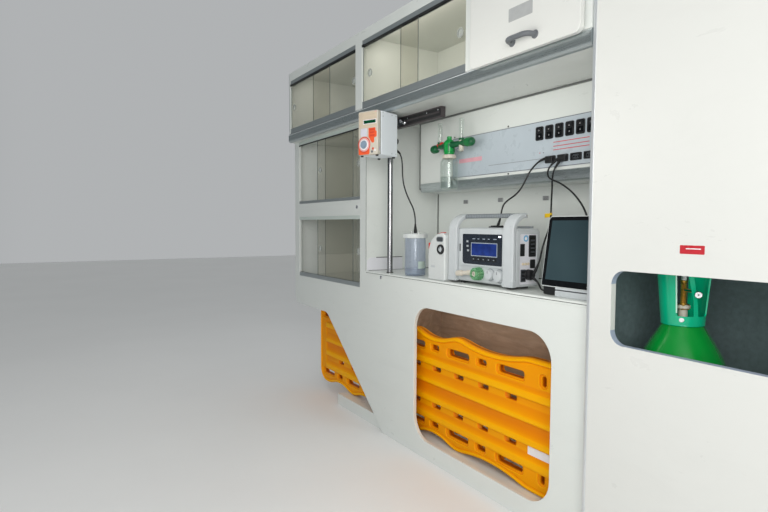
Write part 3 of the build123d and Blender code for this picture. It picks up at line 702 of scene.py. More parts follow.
# ---------------------------------------------------------------- camera, floor and light
yaw, pitch, roll = math.radians(32.178), math.radians(3.259), math.radians(0.207)
F = Vector((-math.cos(yaw) * math.cos(pitch), math.sin(yaw) * math.cos(pitch), -math.sin(pitch)))
R = F.cross(Vector((0, 0, 1))).normalized()
U = R.cross(F)
R2, U2 = R * math.cos(roll) + U * math.sin(roll), U * math.cos(roll) - R * math.sin(roll)
cam_data = bpy.data.cameras.new("camera")
cam_data.sensor_width, cam_data.sensor_fit, cam_data.lens = 36.0, "HORIZONTAL", 25.63
cam_data.clip_start = 0.02
cam = bpy.data.objects.new("camera", cam_data)
bpy.context.scene.collection.objects.link(cam)
m4 = Matrix((R2, U2, -F)).transposed().to_4x4()
m4.translation = Vector((1.620, -1.433, 0.940))
cam.matrix_world = m4
bpy.context.scene.camera = cam

scene = bpy.context.scene
scene.view_settings.view_transform = "Standard"
scene.view_settings.look = "None"
scene.view_settings.exposure = 0.0

world = bpy.data.worlds.new("studio")
world.use_nodes = True
scene.world = world
wt = world.node_tree
bg = wt.nodes["Background"]
bg.inputs["Strength"].default_value = 0.50
# the studio is pale all round, and dimmer on one side, where the room is open
w_at = wt.nodes.new("ShaderNodeTexCoord")
w_dot = wt.nodes.new("ShaderNodeVectorMath")
w_dot.operation = "DOT_PRODUCT"
w_dot.inputs[1].default_value = (-0.45, -0.89, 0.05)
w_map = wt.nodes.new("ShaderNodeMapRange")
w_map.interpolation_type = "SMOOTHSTEP"
w_map.inputs["From Min"].default_value = 0.45
w_map.inputs["From Max"].default_value = 0.9
w_mix = wt.nodes.new("ShaderNodeMix")
w_mix.data_type = "RGBA"
w_mix.inputs[6].default_value = (*lin((240, 243, 245)), 1)
w_mix.inputs[7].default_value = (*lin((92, 106, 110)), 1)
wt.links.new(w_at.outputs["Generated"], w_dot.inputs[0])
wt.links.new(w_dot.outputs["Value"], w_map.inputs["Value"])
wt.links.new(w_map.outputs["Result"], w_mix.inputs["Factor"])
wt.links.new(w_mix.outputs[2], bg.inputs["Color"])


def area_light(name, at, to, size, power, colour=(255, 255, 255)):
    d = bpy.data.lights.new(name, "AREA")
    d.shape, d.size, d.size_y, d.energy, d.color = "RECTANGLE", size[0], size[1], power, lin(colour)
    o = bpy.data.objects.new(name, d)
    bpy.context.scene.collection.objects.link(o)
    o.location = at
    o.rotation_mode = "QUATERNION"
    o.rotation_quaternion = (Vector(to) - Vector(at)).to_track_quat("-Z", "Y")
    return o


area_light("key", (1.95, -1.62, 1.3), (0.0, 0.05, 1.0), (1.3, 1.3), 31, (255, 253, 250))
area_light("fill", (0.9, -2.7, 0.9), (-0.1, 0.1, 0.7), (2.0, 1.4), 8, (250, 252, 255))
area_light("top", (-1.1, -0.5, 3.3), (-0.2, -0.2, 1.2), (3.0, 1.8), 15, (255, 255, 255))
area_light("counter", (0.15, -0.75, 1.22), (0.45, 0.26, 0.98), (0.7, 0.4), 2.4, (255, 252, 246)).visible_glossy = False
# small soft lights show the insides, which the lockers' own boards would keep dark
for name, at, to, size, power in (
        ("middle_locker", (-0.20, -0.12, 1.775), (-0.20, 0.22, 1.46), (0.62, 0.06), 0.85), ("rear_locker", (-1.00, -0.12, 1.775), (-1.00, 0.22, 1.46), (0.66, 0.06), 0.45),
        ("middle_shelf", (-1.00, -0.08, 1.385), (-0.98, 0.22, 1.08), (0.56, 0.06), 0.12), ("lower_shelf", (-1.00, -0.08, 1.03), (-0.98, 0.22, 0.66), (0.56, 0.06), 0.02),
        ("board_bay", (-0.10, -0.05, 0.69), (-0.10, 0.25, 0.56), (0.7, 0.05), 0.7), ("cylinder", (1.00, -0.10, 0.94), (1.00, 0.08, 0.66), (0.44, 0.05), 0.35)):
    inner = area_light(name, at, to, size, power, (255, 251, 244))
    inner.visible_camera = False
    inner.visible_glossy = False
    inner.visible_transmission = False

floor_me = bpy.data.meshes.new("studio_floor")
bm = bmesh.new()
bmesh.ops.create_grid(bm, x_segments=2, y_segments=2, size=14)
bm.to_mesh(floor_me)
bm.free()
floor = bpy.data.objects.new("studio_floor", floor_me)
scene.collection.objects.link(floor)
floor_me.materials.append(finish("floor_pale", (238, 238, 236), 0.02, 0.8, 0.6, 0.05, grain=0.05, fine=120))


# ---------------------------------------------------------------- leads
def lead(name, pts, node):
    cu = bpy.data.curves.new(name, "CURVE")
    cu.dimensions = "3D"
    s = cu.splines.new("NURBS")
    s.points.add(len(pts) - 1)
    for p, q in zip(s.points, pts):
        p.co = (q[0] * MM, q[1] * MM, q[2] * MM, 1)
    s.order_u = 3
    s.use_endpoint_u = True
    s.resolution_u = 10
    cu.bevel_depth = 0.003
    cu.bevel_resolution = 4
    cu.use_fill_caps = True
    cu.materials.append(CABLE)
    o = bpy.data.objects.new(name, cu)
    scene.collection.objects.link(o)
    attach(o, "cabinet")
    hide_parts(node)
    return o


PUMP_JAR = [(-363, -119, 1257), (-369, -104, 1252), (-372, -95, 1240), (-370, -90, 1221), (-369, -88, 1190), (-368, -88, 1153), (-360, -88, 1116),
            (-341, -87, 1078), (-315, -85, 1040), (-293, -82, 1010), (-283, -80, 976), (-284, -78, 944), (-283, -78, 918)]
VENT = [(268, 84, 1174), (250, 84, 1170), (231, 80, 1156), (213, 73, 1133), (202, 64, 1102), (190, 54, 1071), (170, 44, 1048), (148, 34, 1034),
        (136, 22, 1017), (140, 9, 992), (147, -2, 967), (149, -13, 946)]
MONITOR = [(325, 78, 1162), (315, 75, 1153), (305, 71, 1141), (302, 66, 1124), (310, 61, 1108), (326, 56, 1099), (349, 51, 1091), (379, 45, 1080),
           (412, 38, 1063), (443, 31, 1043), (473, 22, 1019), (502, 11, 991), (525, -4, 962), (538, -24, 936), (541, -50, 915)]
CONNECTOR = [(332, 85, 1155), (326, 81, 1144), (320, 76, 1127), (322, 69, 1106), (328, 61, 1082), (336, 52, 1055), (343, 42, 1028), (352, 31, 1001),
             (363, 18, 976), (376, 2, 951), (386, -18, 926), (389, -36, 898), (386, -46, 868), (379, -46, 838), (368, -43, 812), (356, -42, 793)]
BASE = [(348, -44, 764), (368, -45, 754), (388, -57, 742), (412, -76, 732), (440, -76, 732)]

cord_pump = lead("pump_to_jar_lead", PUMP_JAR, "pump_to_jar_cord")
cord_vent = lead("ventilator_lead", VENT, "ventilator_cord")
cord_mon = lead("monitor_lead", MONITOR, "monitor_cord")
cord_con = lead("connector_lead", CONNECTOR, "connector_cord")
cord_base = lead("monitor_base_lead", BASE, "monitor_base_cord")


# ---------------------------------------------------------------- skins of moulded parts
def stack(t, to, rings):
    """One skin through closed loops of equal length, each given as (loop, depth)."""
    made = [[t.verts.new(to(*q, d)) for q in loop] for loop, d in rings]
    for a, b in zip(made, made[1:]):
        for i in range(len(a)):
            j = (i + 1) % len(a)
            t.faces.new((a[i], a[j], b[j], b[i]))


def cap(t, to, depth, outline, holes=()):
    v, f = fill(outline, holes)
    made = [t.verts.new(to(*q, depth)) for q in v]
    for tri in f:
        t.faces.new([made[i] for i in tri])


# ---------------------------------------------------------------- spine board
BX0, BX1, BZ0, BZ1 = -1206.0, 634.0, 57.0, 505.0
SLOT_X = [-1103.0 + 278 * i for i in range(6)]
PEG_X = [-971.0 + 278 * i for i in range(5)]
PIN_X = [-1103.0 + 139 * i for i in range(11)]
# the ribs' section: height and depth under the crest, from the upper edge of the ribbed field down
RIBS = [(411, 5.0), (407, 7.4), (398, 7.6), (393, 4.0), (390, 1.2), (386, 0.2), (371, 0.0), (367, 1.0), (364.5, 5.0), (362.5, 9.6), (339.5, 9.6), (332, 9.0), (318, 6.4), (308, 3.6), (304, 1.4), (301, 0.2),
        (291, 0.2), (288, 1.4), (284.5, 6.0), (281, 10.6), (262, 11.6), (246, 9.0), (237, 4.0), (233, 1.2), (229, 0.2), (217, 0.0), (213, 1.0), (210.5, 5.0), (208.5, 9.6), (185.5, 9.6), (178, 9.0), (169, 6.0), (163, 2.6),
        (160, 0.8), (157, 0.1), (142, 0.1), (138, 1.0), (132, 5.0)]


def board_outline():
    def wave(x):
        d = 0.0
        for c in PEG_X[:4]:
            d = max(d, math.sqrt(287.5 ** 2 - (x - c) ** 2) - 263.5 if abs(x - c) < 115 else 0.0)
        return max(d, math.sqrt(630.0 ** 2 - (x - 190) ** 2) - 608 if abs(x - 190) < 165 else 0.0)

    xs = [BX0 + 90 + (BX1 - BX0 - 180) * i / 180 for i in range(181)]
    # the meeting of crest and trough is eased
    w = [sum(wave(x + k) for k in (-24, -16, -8, 0, 8, 16, 24)) / 7 for x in xs]
    low = [(x, BZ0 + v) for x, v in zip(xs, w)]
    top = [(x, BZ1 - v) for x, v in zip(reversed(xs), reversed(w))]
    return (arc(BX0 + 75, BZ0 + 75, 75, 180, 270, 12) + low + arc(BX1 - 75, BZ0 + 75, 75, 270, 360, 12)
            + arc(BX1 - 75, BZ1 - 75, 75, 0, 90, 12) + top + arc(BX0 + 75, BZ1 - 75, 75, 90, 180, 12))


def board_half(t, out, y0, s):
    """One face of the board. y0 is its crest and s points into the board."""
    to = PLANES["y"]
    d = lambda v: y0 + s * v
    stack(t, to, [(inset(out, i), d(k)) for i, k in ((0, 23), (0, 13), (0.8, 9.4), (2.4, 5.8), (5.0, 2.6), (8.0, 0.8), (11, 0.2), (13.2, 0.8), (15.0, 3.6), (16.6, 6.4), (18.2, 6.8), (21, 5.2), (24, 5.0))])
    rim = inset(out, 24)
    floor = d(5.0)
    # ribbed field: one section carried along the board, sinking to the floor at both ends
    xa, xb = BX0 + 62, BX1 - 40
    ease = [(0, 0.0), (5, 0.16), (11, 0.5), (17, 0.84), (22, 1.0)]
    cols = [(xa + q, e) for q, e in ease] + [(xb - q, e) for q, e in reversed(ease)]
    depth = lambda v, e: 5.0 + (v - 5.0) * e
    grid = [[t.verts.new(to(x, z, d(depth(v, e)))) for z, v in RIBS] for x, e in cols]
    flat = {k for k in range(len(RIBS) - 1) if RIBS[k][1] == RIBS[k + 1][1] == 9.6}
    for i in range(len(cols) - 1):
        for j in range(len(RIBS) - 1):
            if i == len(ease) - 1 and j in flat:
                continue
            t.faces.new((grid[i][j], grid[i + 1][j], grid[i + 1][j + 1], grid[i][j + 1]))
    x0, x1 = xa + ease[-1][0], xb - ease[-1][0]
    for j in flat:
        hi, lo = RIBS[j][0], RIBS[j + 1][0]
        z = (hi + lo) / 2
        pins = [rrect(x - 29, z - 9.6, x + 29, z + 9.6, [9, 9, 4, 4], 4) for x in PIN_X if x0 + 32 < x < x1 - 32]
        cap(t, to, d(9.6), [(x0, lo), (x1, lo), (x1, hi), (x0, hi)], [inset(q, -1.2) for q in pins])
        for q in pins:
            x = sum(v[0] for v in q) / len(q)
            hole = [(x + (v[0] - x) * 0.58, v[1]) for v in inset(q, 1.0)]
            stack(t, to, [(inset(q, -1.2), d(9.6)), (inset(q, -0.3), d(10.1)), (inset(q, 0.4), d(11.6)), (hole, d(19.5)), (hole, d(23))])
    foot = ([(x, RIBS[-1][0]) for x, _ in cols] + [(xb, z) for z, _ in reversed(RIBS[1:-1])] + [(x, RIBS[0][0]) for x, _ in reversed(cols)] + [(xa, z) for z, _ in RIBS[1:-1]])
    lips = []
    for z in (439, 119):
        for x in SLOT_X:
            rec = rrect(x - 71, z - 21, x + 68, z + 17, 15, 6)
            q = rrect(x - 60, z - 14, x + 60, z + 14, 12, 6)
            lips.append(inset(rec, -3.4))
            stack(t, to, [(inset(rec, -3.4), d(5.0)), (inset(rec, -1.6), d(4.7)), (inset(rec, 0), d(6.0)), (inset(rec, 1.6), d(9.0)), (inset(rec, 2.4), d(9.6))])
            cap(t, to, d(9.6), inset(rec, 2.4), [inset(q, -0.2)])
            stack(t, to, [(inset(q, -0.2), d(9.6)), (inset(q, 0.3), d(10.2)), (inset(q, 0.6), d(11.6)), (inset(q, 0.6), d(23))])
        for rec, q in [(rrect(x - 32, z - 17, x + 30, z + 15, 13, 5), rrect(x - 23, z - 11, x + 23, z + 11, 9, 5)) for x in PEG_X] + [(rrect(414, z - 25, 452, z + 25, 17, 6), rrect(423.5, z - 18.5, 442.5, z + 18.5, 9, 6))]:
            lips.append(inset(rec, -3.0))
            stack(t, to, [(inset(rec, -3.0), d(5.0)), (inset(rec, -1.4), d(4.8)), (inset(rec, 0), d(6.0)), (inset(rec, 1.4), d(8.6)), (inset(rec, 2.2), d(9.2))])
            cap(t, to, d(9.2), inset(rec, 2.2), [inset(q, -0.2)])
            stack(t, to, [(inset(q, -0.2), d(9.2)), (inset(q, 0.3), d(9.8)), (inset(q, 0.6), d(11.2)), (inset(q, 0.6), d(23))])
    cap(t, to, floor, rim, [foot, *lips])


board_p = Piece("spine_board_moulded")
t = bmesh.new()
out = board_outline()
board_half(t, out, -86.0, 1)
board_half(t, out, -40.0, -1)
bmesh.ops.remove_doubles(t, verts=t.verts, dist=2e-2)
board_p.take(t, ORANGE)
board_p.slab(rrect(368, 180, 459, 207.5, 2), "y", -77.1, -76.0, LABEL_WHITE, r=0.15)
board_p.done("board", "spine_board", "orange_plastic", sharp=50)

# ---------------------------------------------------------------- sliding panes: ground rings round their finger holes
PANES = [
    ("rear_upper", 0, -1350, 1613, -181), ("rear_upper", 1, -660, 1613, -181), ("middle_upper", 0, -500, 1613, -181), ("middle_upper", 1, 105, 1613, -181),
    ("rear_middle", 0, -1090, 1236, -144), ("rear_middle", 1, -680, 1236, -144), ("rear_lower", 0, -1090, 811, -144), ("rear_lower", 1, -680, 811, -144),
]
for bay, groove, x, z, y0 in PANES:
    node = bay + ("_front_pane" if groove == 0 else "_back_pane")
    a, b = (v * 1000 for v in (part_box(node)[0][2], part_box(node)[1][2]))
    z = (a + b) / 2
    y = y0 + 4 + 9 * groove
    p = Piece(node + "_pull")
    p.lathe((x, y, z), (0, -1, 0), [(13.4, -0.2), (13.4, 0.9), (14.2, 1.6), (16.6, 1.6), (17.8, 0.7), (18.0, -0.2), (13.4, -0.2)], RING, 36)
    p.lathe((x, y + 2.4, z), (0, -1, 0), [(0, 0), (13.7, 0), (13.7, 1.2), (12.4, 1.6), (0, 1.0)], RING, 36)
    p.done(NODE_OF[node]["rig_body"], slot="clear_acrylic")

# felt seals along the overhead tracks' upper lips and corner blocks; the black strips also stand in for the shade in
# the track grooves, as painted shade
seal = Piece("overhead_track_seals_and_shade")
for x0, x1 in ((-1392, -620), (-560, 152)):
    seal.box((x0, -182.8, 1738), (x1, -180.2, 1746), BLACK, 0.5)
    seal.box((x0, -172.6, 1739), (x1, -170.6, 1745), BLACK, 0.3)
    seal.box((x0, -184.0, 1736), (x0 + 16, -180.4, 1748), BLACK, 0.8)
seal.box((-1360, -144.8, 1391), (-644, -142.2, 1397.6), BLACK, 0.5)
seal.done("cabinet", slot="black_plastic")

# ---------------------------------------------------------------- lift-up flap with its hinges and bow handle
flap = Piece("flap_door_finished")
flap.slab(rrect(200, 1456, 642, 1786, 20, 10), "y", -206, -188.4, LAM_FRONT, r=2.2, seg=4)
flap.slab(rrect(378, 1556, 474, 1596, 3), "y", -206.25, -205.9, LABEL_GREY, r=0.1)
for x in (290, 552):
    flap.box((x + 0.5, -195.4, 1774), (x + 24.5, -192.2, 1792), ALU, 0.6)
    flap.lathe((x + 0.7, -191, 1793), (1, 0, 0), [(2.1, 0), (4.1, 0), (4.5, 0.5), (4.5, 23.2), (4.1, 23.7), (2.1, 23.7), (2.1, 0)], STEEL, 24)
    flap.screw((x + 7, -195.4, 1781), (0, -1, 0), 2.2, h=0.8)
    flap.screw((x + 18, -195.4, 1781), (0, -1, 0), 2.2, h=0.8)
flap.done("flap", "flap_door", "white_laminate")

grip = Piece("flap_handle_bow")
path = [(395, -205.6), (395, -214)] + [(395 + 24 - 24 * math.cos(math.radians(a)), -214 - 24 * math.sin(math.radians(a))) for a in range(15, 91, 15)]
path += [(419 + 42 * i / 4, -238) for i in range(1, 5)] + [(461 + 24 * math.sin(math.radians(a)), -214 - 24 * math.cos(math.radians(a))) for a in range(15, 91, 15)] + [(485, -205.6)]
grip.tube([(x, y, 1492) for x, y in path], [9.4, 8.8] + [8.0] * (len(path) - 3) + [9.4], GRIP_GREY, 24)
for x in (395, 485):
    grip.lathe((x, -206, 1492), (0, -1, 0), [(0, -0.2), (12.5, -0.2), (12.5, 1.6), (11.4, 3.0), (8.2, 4.2), (0, 4.2)], GRIP_GREY, 36)
grip.done("flap", "flap_handle", "dark_grey_plastic", sharp=45)

# ---------------------------------------------------------------- fascia box: metal lower edge, seams and the outlet plate
box = Piece("fascia_box_edges")
box.slab(rounded([(102.2, 1133), (96.4, 1133), (95.4, 1112), (97.4, 1092.8), (142, 1092.8), (142, 1094.6), (102.2, 1094.6)][::-1], [0, 0, 0, 13, 26, 6, 0], 8), "x", -487, 660, ALU, r=0.0)
box.box((-502.4, 98.6, 1106), (-496.4, 104.5, 1417), EDGE_GREY, 1.2, 3)
box.lathe((-487, 105, 1106), (1, 0, 0), [(0, 0), (9, 0), (11.4, 1.4), (11.4, 4), (0, 4)], EDGE_GREY, 40)
box.slab(rounded([(94, 1411), (102.2, 1411), (102.2, 1417), (94, 1417)], [2, 0, 0, 0.6], 4), "x", -500, 660, EDGE_GREY, r=0.0)
box.done("cabinet", slot="track_grey")

plate = Piece("outlet_plate_finished")
plate.slab(rrect(-257, 1144, 600, 1313, 3), "y", 100, 102, PLATE, r=0.5)
ring_o, ring_i = rrect(-256.4, 1144.6, 599.4, 1312.4, 3), rrect(-254.2, 1146.8, 597.2, 1310.2, 2)
plate.slab(ring_o, "y", 99.8, 100.4, INK_GREY, holes=[ring_i], r=0.1)
plate.slab(rrect(-213, 1204, -70, 1221, 1), "y", 99.75, 100.3, INK_PINK, r=0.1)
for z in (1231, 1217, 1204.5):
    plate.slab(rrect(296, z - 1.3, 446, z + 1.3, 0.6), "y", 99.75, 100.3, INK_RED, r=0.1)
plate.slab(rrect(-30, 1178.4, 250, 1179.8, 0.4), "y", 99.8, 100.3, INK_GREY, r=0.05)
for x, z in ((74, 1319), (78, 1138), (-246, 1319), (-246, 1138), (588, 1319), (588, 1138)):
    plate.screw((x, 102, z), (0, -1, 0), 3.6, BLACK, 1.4)
for x, z, m in ((236, 1200, INK_RED), (252, 1200, INK_GREY), (520, 1228, INK_GREY), (536, 1228, INK_RED)):
    plate.lathe((x, 100, z), (0, -1, 0), [(0, 0), (2.0, 0), (2.0, 0.6), (1.3, 1.2), (0, 1.4)], m, 20)
plate.done("cabinet", "outlet_plate", "plate_print")

rock = Piece("rocker_switches_finished")
for x in (217, 261, 305, 349, 393, 437):
    rock.slab(rrect(x, 1245, x + 35, 1294, 6), "y", 95.4, 100.2, BLACK, holes=[rrect(x + 5, 1250, x + 30, 1289, 3)], r=1.2, seg=3)
    rock.slab(rounded([(100, 1250.4), (95.0, 1250.4), (97.2, 1269.5), (92.2, 1288.4), (100, 1288.4)], [0, 0.8, 6, 1.2, 0], 4), "x", x + 5.4, x + 29.6, BLACK_GLOSS, r=0.8)
    rock.slab(rrect(x + 16.9, 1257, x + 18.1, 1262, 0.4), "y", 95.6, 96.6, LABEL_WHITE, r=0.1)
    rock.ring((x + 17.5, 94.15, 1280), (0, -1, 0), 2.1, 0.35, LABEL_WHITE, 20, 6)
rock.done("cabinet", "rocker_switches", "black_plastic")

sock = Piece("power_sockets_finished")
for i, x in enumerate((264, 318.5, 373, 427.5, 482)):
    sock.slab(rrect(x, 1160, x + 44, 1185, 3), "y", 94, 100.2, BLACK, holes=[rrect(x + 6, 1164.5, x + 38, 1180.5, 7.5)], r=0.9, seg=3)
    sock.slab(rrect(x + 5, 1163.5, x + 39, 1181.5, 8), "y", 98.6, 100.2, DGREY, r=0.2)
    for k in (-9, 0, 9):
        sock.lathe((x + 22 + k, 98.6, 1172.5 - (1.6 if k == 0 else 0)), (0, -1, 0), [(0, 0.05), (2.4, 0.05), (2.9, 0.25), (3.1, 0.0), (2.9, -0.4)], BLACK_GLOSS, 20)
sock.done("cabinet", "power_sockets", "black_plastic")

# ---------------------------------------------------------------- oxygen regulator, flowmeters and humidifier bottle
GX, GY = -203.0, 37.0
reg = Piece("oxygen_regulators_finished")
reg.lathe((GX, GY, 1236), (0, 0, 1), [(0, 0), (19, 0), (21.5, 2), (21.5, 8), (23.6, 10), (23.6, 46), (22, 53), (16, 60), (11, 63), (10, 64), (10, 74.5), (8.6, 76), (0, 76)], GREEN, 48)
for k in range(6):
    a = math.radians(60 * k + 12)
    reg.box((GX + 22.4 * math.cos(a) - 2.6, GY + 22.4 * math.sin(a) - 2.6, 1247), (GX + 22.4 * math.cos(a) + 2.6, GY + 22.4 * math.sin(a) + 2.6, 1280), GREEN_DARK, 1.4,
            turn=Matrix.Rotation(a, 4, "Z"))
reg.lathe((-258, GY, 1275), (1, 0, 0), [(0, 0), (10, 0), (12.6, 1.4), (12.6, 30), (15, 33), (15, 60), (15, 84), (12.6, 88), (12.6, 148), (10, 150), (0, 150)], GREEN_DARK, 36)
reg.lathe((-246, GY, 1284), (-1, 0, 0), [(0, 0), (9.6, 0), (11, 1.4), (11, 8), (9, 12), (9, 30), (7.4, 34), (0, 35)], RED, 28)
reg.rod((-286, GY, 1269), (-250, GY, 1269), 6.2, STEEL)
prof = [(0, 0), (13, 0), (15.4, 2), (16.8, 5), (16.8, 26), (15.6, 30), (12, 32.4), (0, 33)]
reg.lathe((-285, GY, 1269), (-1, 0, 0), prof, GREEN_DARK, 40)
for k in range(14):
    a = 2 * math.pi * k / 14
    reg.rod((-289, GY + 16.2 * math.cos(a), 1269 + 16.2 * math.sin(a)), (-312, GY + 16.2 * math.cos(a), 1269 + 16.2 * math.sin(a)), 1.5, GREEN_DARK, n=10)
reg.lathe((-112, GY, 1275), (1, 0, 0), [(0, 0), (11, 0), (13, 2), (13, 14), (15.5, 16), (17, 19), (17, 50), (15.6, 55), (11, 60), (9, 61.5), (0, 61.8)], GREEN_DARK, 40)
for k in range(16):
    a = 2 * math.pi * k / 16
    reg.rod((-92, GY + 16.4 * math.cos(a), 1275 + 16.4 * math.sin(a)), (-64, GY + 16.4 * math.cos(a), 1275 + 16.4 * math.sin(a)), 1.5, GREEN, n=10)
reg.lathe((GX, 62, 1275), (0, 1, 0), [(0, -4), (10, -4), (12, 0), (12, 30), (19, 32), (21, 34), (21, 38), (0, 38)], STEEL, 40)
reg.lathe((-125, GY, 1242), (0, 0, 1), [(0, 0), (7, 0), (9.5, 2), (10.5, 8), (10.5, 44), (9, 46), (0, 46)], CREAM, 32)
reg.lathe((-265, GY, 1268), (0, 0, 1), [(0, 0), (8, 0), (9.8, 3), (9.8, 20), (0, 20)], GREEN_DARK, 32)
reg.tube([(-118, GY - 6, 1250), (-116, GY - 12, 1240), (-113, GY - 20, 1233), (-108, GY - 30, 1229), (-104, GY - 38, 1228)], [5, 5, 4.6, 4.2, 3.4], CLEAR, 16)
reg.done("cabinet", "oxygen_regulators", "green_plastic")

tubes = Piece("flowmeter_tubes_finished")
for x in (-265.0, -125.0):
    tubes.lathe((x, GY, 1288), (0, 0, 1), [(0, 0), (8, 0), (10.8, 1.6), (10.8, 84), (8.6, 88.4), (4, 89), (0, 89)], CLEAR, 36)
    tubes.lathe((x, GY, 1290), (0, 0, 1), [(3.4, 0), (4.4, 0), (4.9, 80), (3.9, 80), (3.4, 0)], RING, 24)
    tubes.ball((x, GY, 1301), 3.1, STEEL)
    tubes.lathe((x, GY, 1288), (0, 0, 1), [(11.1, -1), (11.4, 0), (11.4, 6), (10.9, 7), (10.4, -1), (11.1, -1)], GREEN_DARK, 32)
    for k in range(9):
        tubes.slab(rrect(x - 2.6, 1303 + 8 * k, x + (2.6 if k % 2 else 0.4), 1303.7 + 8 * k, 0.2), "y", GY - 5.4, GY - 5.0, INK_GREY, r=0.05)
tubes.done("cabinet", "flowmeter_tubes", "clear_plastic")

bot = Piece("humidifier_bottle_finished")
bot.lathe((GX, GY, 1090), (0, 0, 1), [(0, 3), (20, 2), (26, 0), (32, 0), (36, 3), (37.3, 8), (37.3, 112), (36, 119), (30, 127), (26.5, 131), (26, 133), (26, 145), (23.6, 145), (23.6, 131),
                                   (27, 126), (33, 118), (34.9, 111), (34.9, 8), (33, 4.5), (26, 3), (18, 5), (0, 5.4)], CLEAR, 56)
bot.lathe((GX, GY, 1219), (0, 0, 1), [(23.4, 0), (27.4, 0), (28.6, 1.4), (28.6, 14), (27.4, 15.6), (23.4, 15.6), (23.4, 0)], CREAM, 48)
for k in range(28):
    a = 2 * math.pi * k / 28
    bot.rod((GX + 28.4 * math.cos(a), GY + 28.4 * math.sin(a), 1221), (GX + 28.4 * math.cos(a), GY + 28.4 * math.sin(a), 1232.4), 0.9, CREAM, n=8, e=0.3)
bot.rod((GX, GY, 1108), (GX, GY, 1234), 3.2, RING)
bot.lathe((GX, GY, 1099), (0, 0, 1), [(0, 0), (6, 0), (7.2, 2), (7.2, 10), (5, 12), (0, 12)], LGREY, 24)
bot.lathe((GX, GY, 1095), (0, 0, 1), [(0, 0), (33.4, 0), (34.4, 3), (34.4, 46), (33.8, 47), (0, 46.4)], WATER, 48)
bot.done("cabinet", "humidifier_bottle", "clear_plastic", sharp=50)


# ---------------------------------------------------------------- infusion pump, drawn from its near front corner
pump = Piece("infusion_pump_finished")
pump.at = Matrix.Translation((-300, -258, 0)) @ Matrix.Rotation(math.radians(20), 4, "Z")
pump.box((-104, 23, 1229), (0, 138, 1409), PUMP_SHELL, 5, 4)
pump.box((-102.6, 20, 1230.4), (-1.4, 26, 1407.6), MGREY, 3, 2)
pump.slab(rrect(-104, 1229, 0, 1409, 7, 8), "y", 0.3, 21.6, CREAM, r=4.2, seg=5)
flat = lambda o, m, d=0.25, r=0.1: pump.slab(o, "y", 0.3 - d, 0.6, m, r=r)
flat(rrect(-98, 1340, -4.5, 1404, 4), MEMBRANE)
flat(rrect(-75, 1397.4, -7, 1400.2, 1), TAN, 0.45)
flat(rrect(-75, 1386.2, -4.6, 1389.6, 1), TAN, 0.45)
flat(rrect(-15, 1401, -5, 1404, 1.2), PINK, 0.5)
flat(rrect(-77, 1354.6, -6.6, 1373.4, 2.5), LABEL_WHITE, 0.5)
flat(rrect(-73.5, 1357.4, -10, 1370.4, 1.6), LCD_GREEN, 0.8, 0.2)
flat(rrect(-90, 1306, -56, 1339, 4), LILAC, 0.35)
flat(rounded([(-48, 1338), (-48, 1300), (-44, 1297), (-30, 1277), (-18, 1277), (-18, 1298), (-5, 1300), (-5, 1323), (-11, 1325), (-11, 1338)], 2.4, 4), RED_ORANGE, 0.4)
for z in (1331, 1319, 1307):
    flat(rrect(-43, z - 4, -15, z + 4, 2.2), RED_DEEP, 0.8, 0.3)
flat(rrect(-101, 1231, -42, 1259, [6, 8, 10, 4]), RED_ORANGE, 0.4)
pump.lathe((-71, 0.3, 1272), (0, -1, 0), [(0, 0), (33, 0), (33, 0.5), (28.6, 0.7), (28.6, 0.5)], RED_DEEP, 64)
pump.lathe((-71, 0.3, 1272), (0, -1, 0), [(0, 0.4), (29, 0.4), (28.4, 1.5), (24, 2.0), (17, 1.8), (17, 0.4)], PINK, 64)
pump.lathe((-71, 0.3, 1272), (0, -1, 0), [(22.6, 1.2), (22.4, 2.6), (20, 3.2), (17, 3.0), (17, 1.2), (22.6, 1.2)], LABEL_WHITE, 64)
pump.lathe((-71, 0.3, 1272), (0, -1, 0), [(0, 0), (17.4, 0), (17.4, 2.4), (15.6, 3.6), (15.2, 6.6), (13.6, 7.4), (12.2, 6.4), (0, 6.2)], BLUE_GREY, 56)
for k in range(24):
    a = 2 * math.pi * k / 24
    pump.rod((-71 + 15.3 * math.cos(a), -3.0, 1272 + 15.3 * math.sin(a)), (-71 + 15.3 * math.cos(a), -6.4, 1272 + 15.3 * math.sin(a)), 0.8, BLUE_GREY, n=8, e=0.3)
for x, z, m in ((-24, 1253, RED_DEEP), (-29, 1241, INK_GREY), (-13, 1246, LABEL_WHITE)):
    pump.lathe((x, 0.3, z), (0, -1, 0), [(0, 0), (5.2, 0), (5.2, 0.7), (4.2, 1.5), (0, 1.7)], m, 28)
for y, z in ((36, 1402), (36, 1387), (97, 1399), (125, 1399), (97, 1240), (125, 1240)):
    pump.lathe((0, y, z), (1, 0, 0), [(0, 0.5), (1.6, 0.5), (2.2, 0.2), (2.6, 0.35), (2.9, -0.2)], LGREY, 20)
pump.slab(rrect(11, 1244, 17, 1260, 2), "x", 0.3, -0.3, INK_LILAC, r=0.1)
for k in range(7):
    pump.slab(rrect(52, 1285 + 9 * k, 112, 1288.4 + 9 * k, 1.6), "x", -104.4, -103.6, DGREY, r=0.15)
    pump.slab(rrect(-84, 1355 + 6 * k, -20, 1357.6 + 6 * k, 1.2), "y", 138.4, 137.6, DGREY, r=0.15)
pump.slab(rrect(-80, 1240, -52, 1262, 2), "y", 139.6, 137, BLACK, r=0.8)
for x, y in ((-92, 12), (-12, 12), (-92, 126), (-12, 126)):
    pump.lathe((x, y, 1229.5), (0, 0, -1), [(0, 0), (6.6, 0), (6.2, 3), (5.4, 5.6), (4.6, 6.4), (0, 6.5)], RUBBER, 28)
pump.done("cabinet", "infusion_pump", "white_plastic")

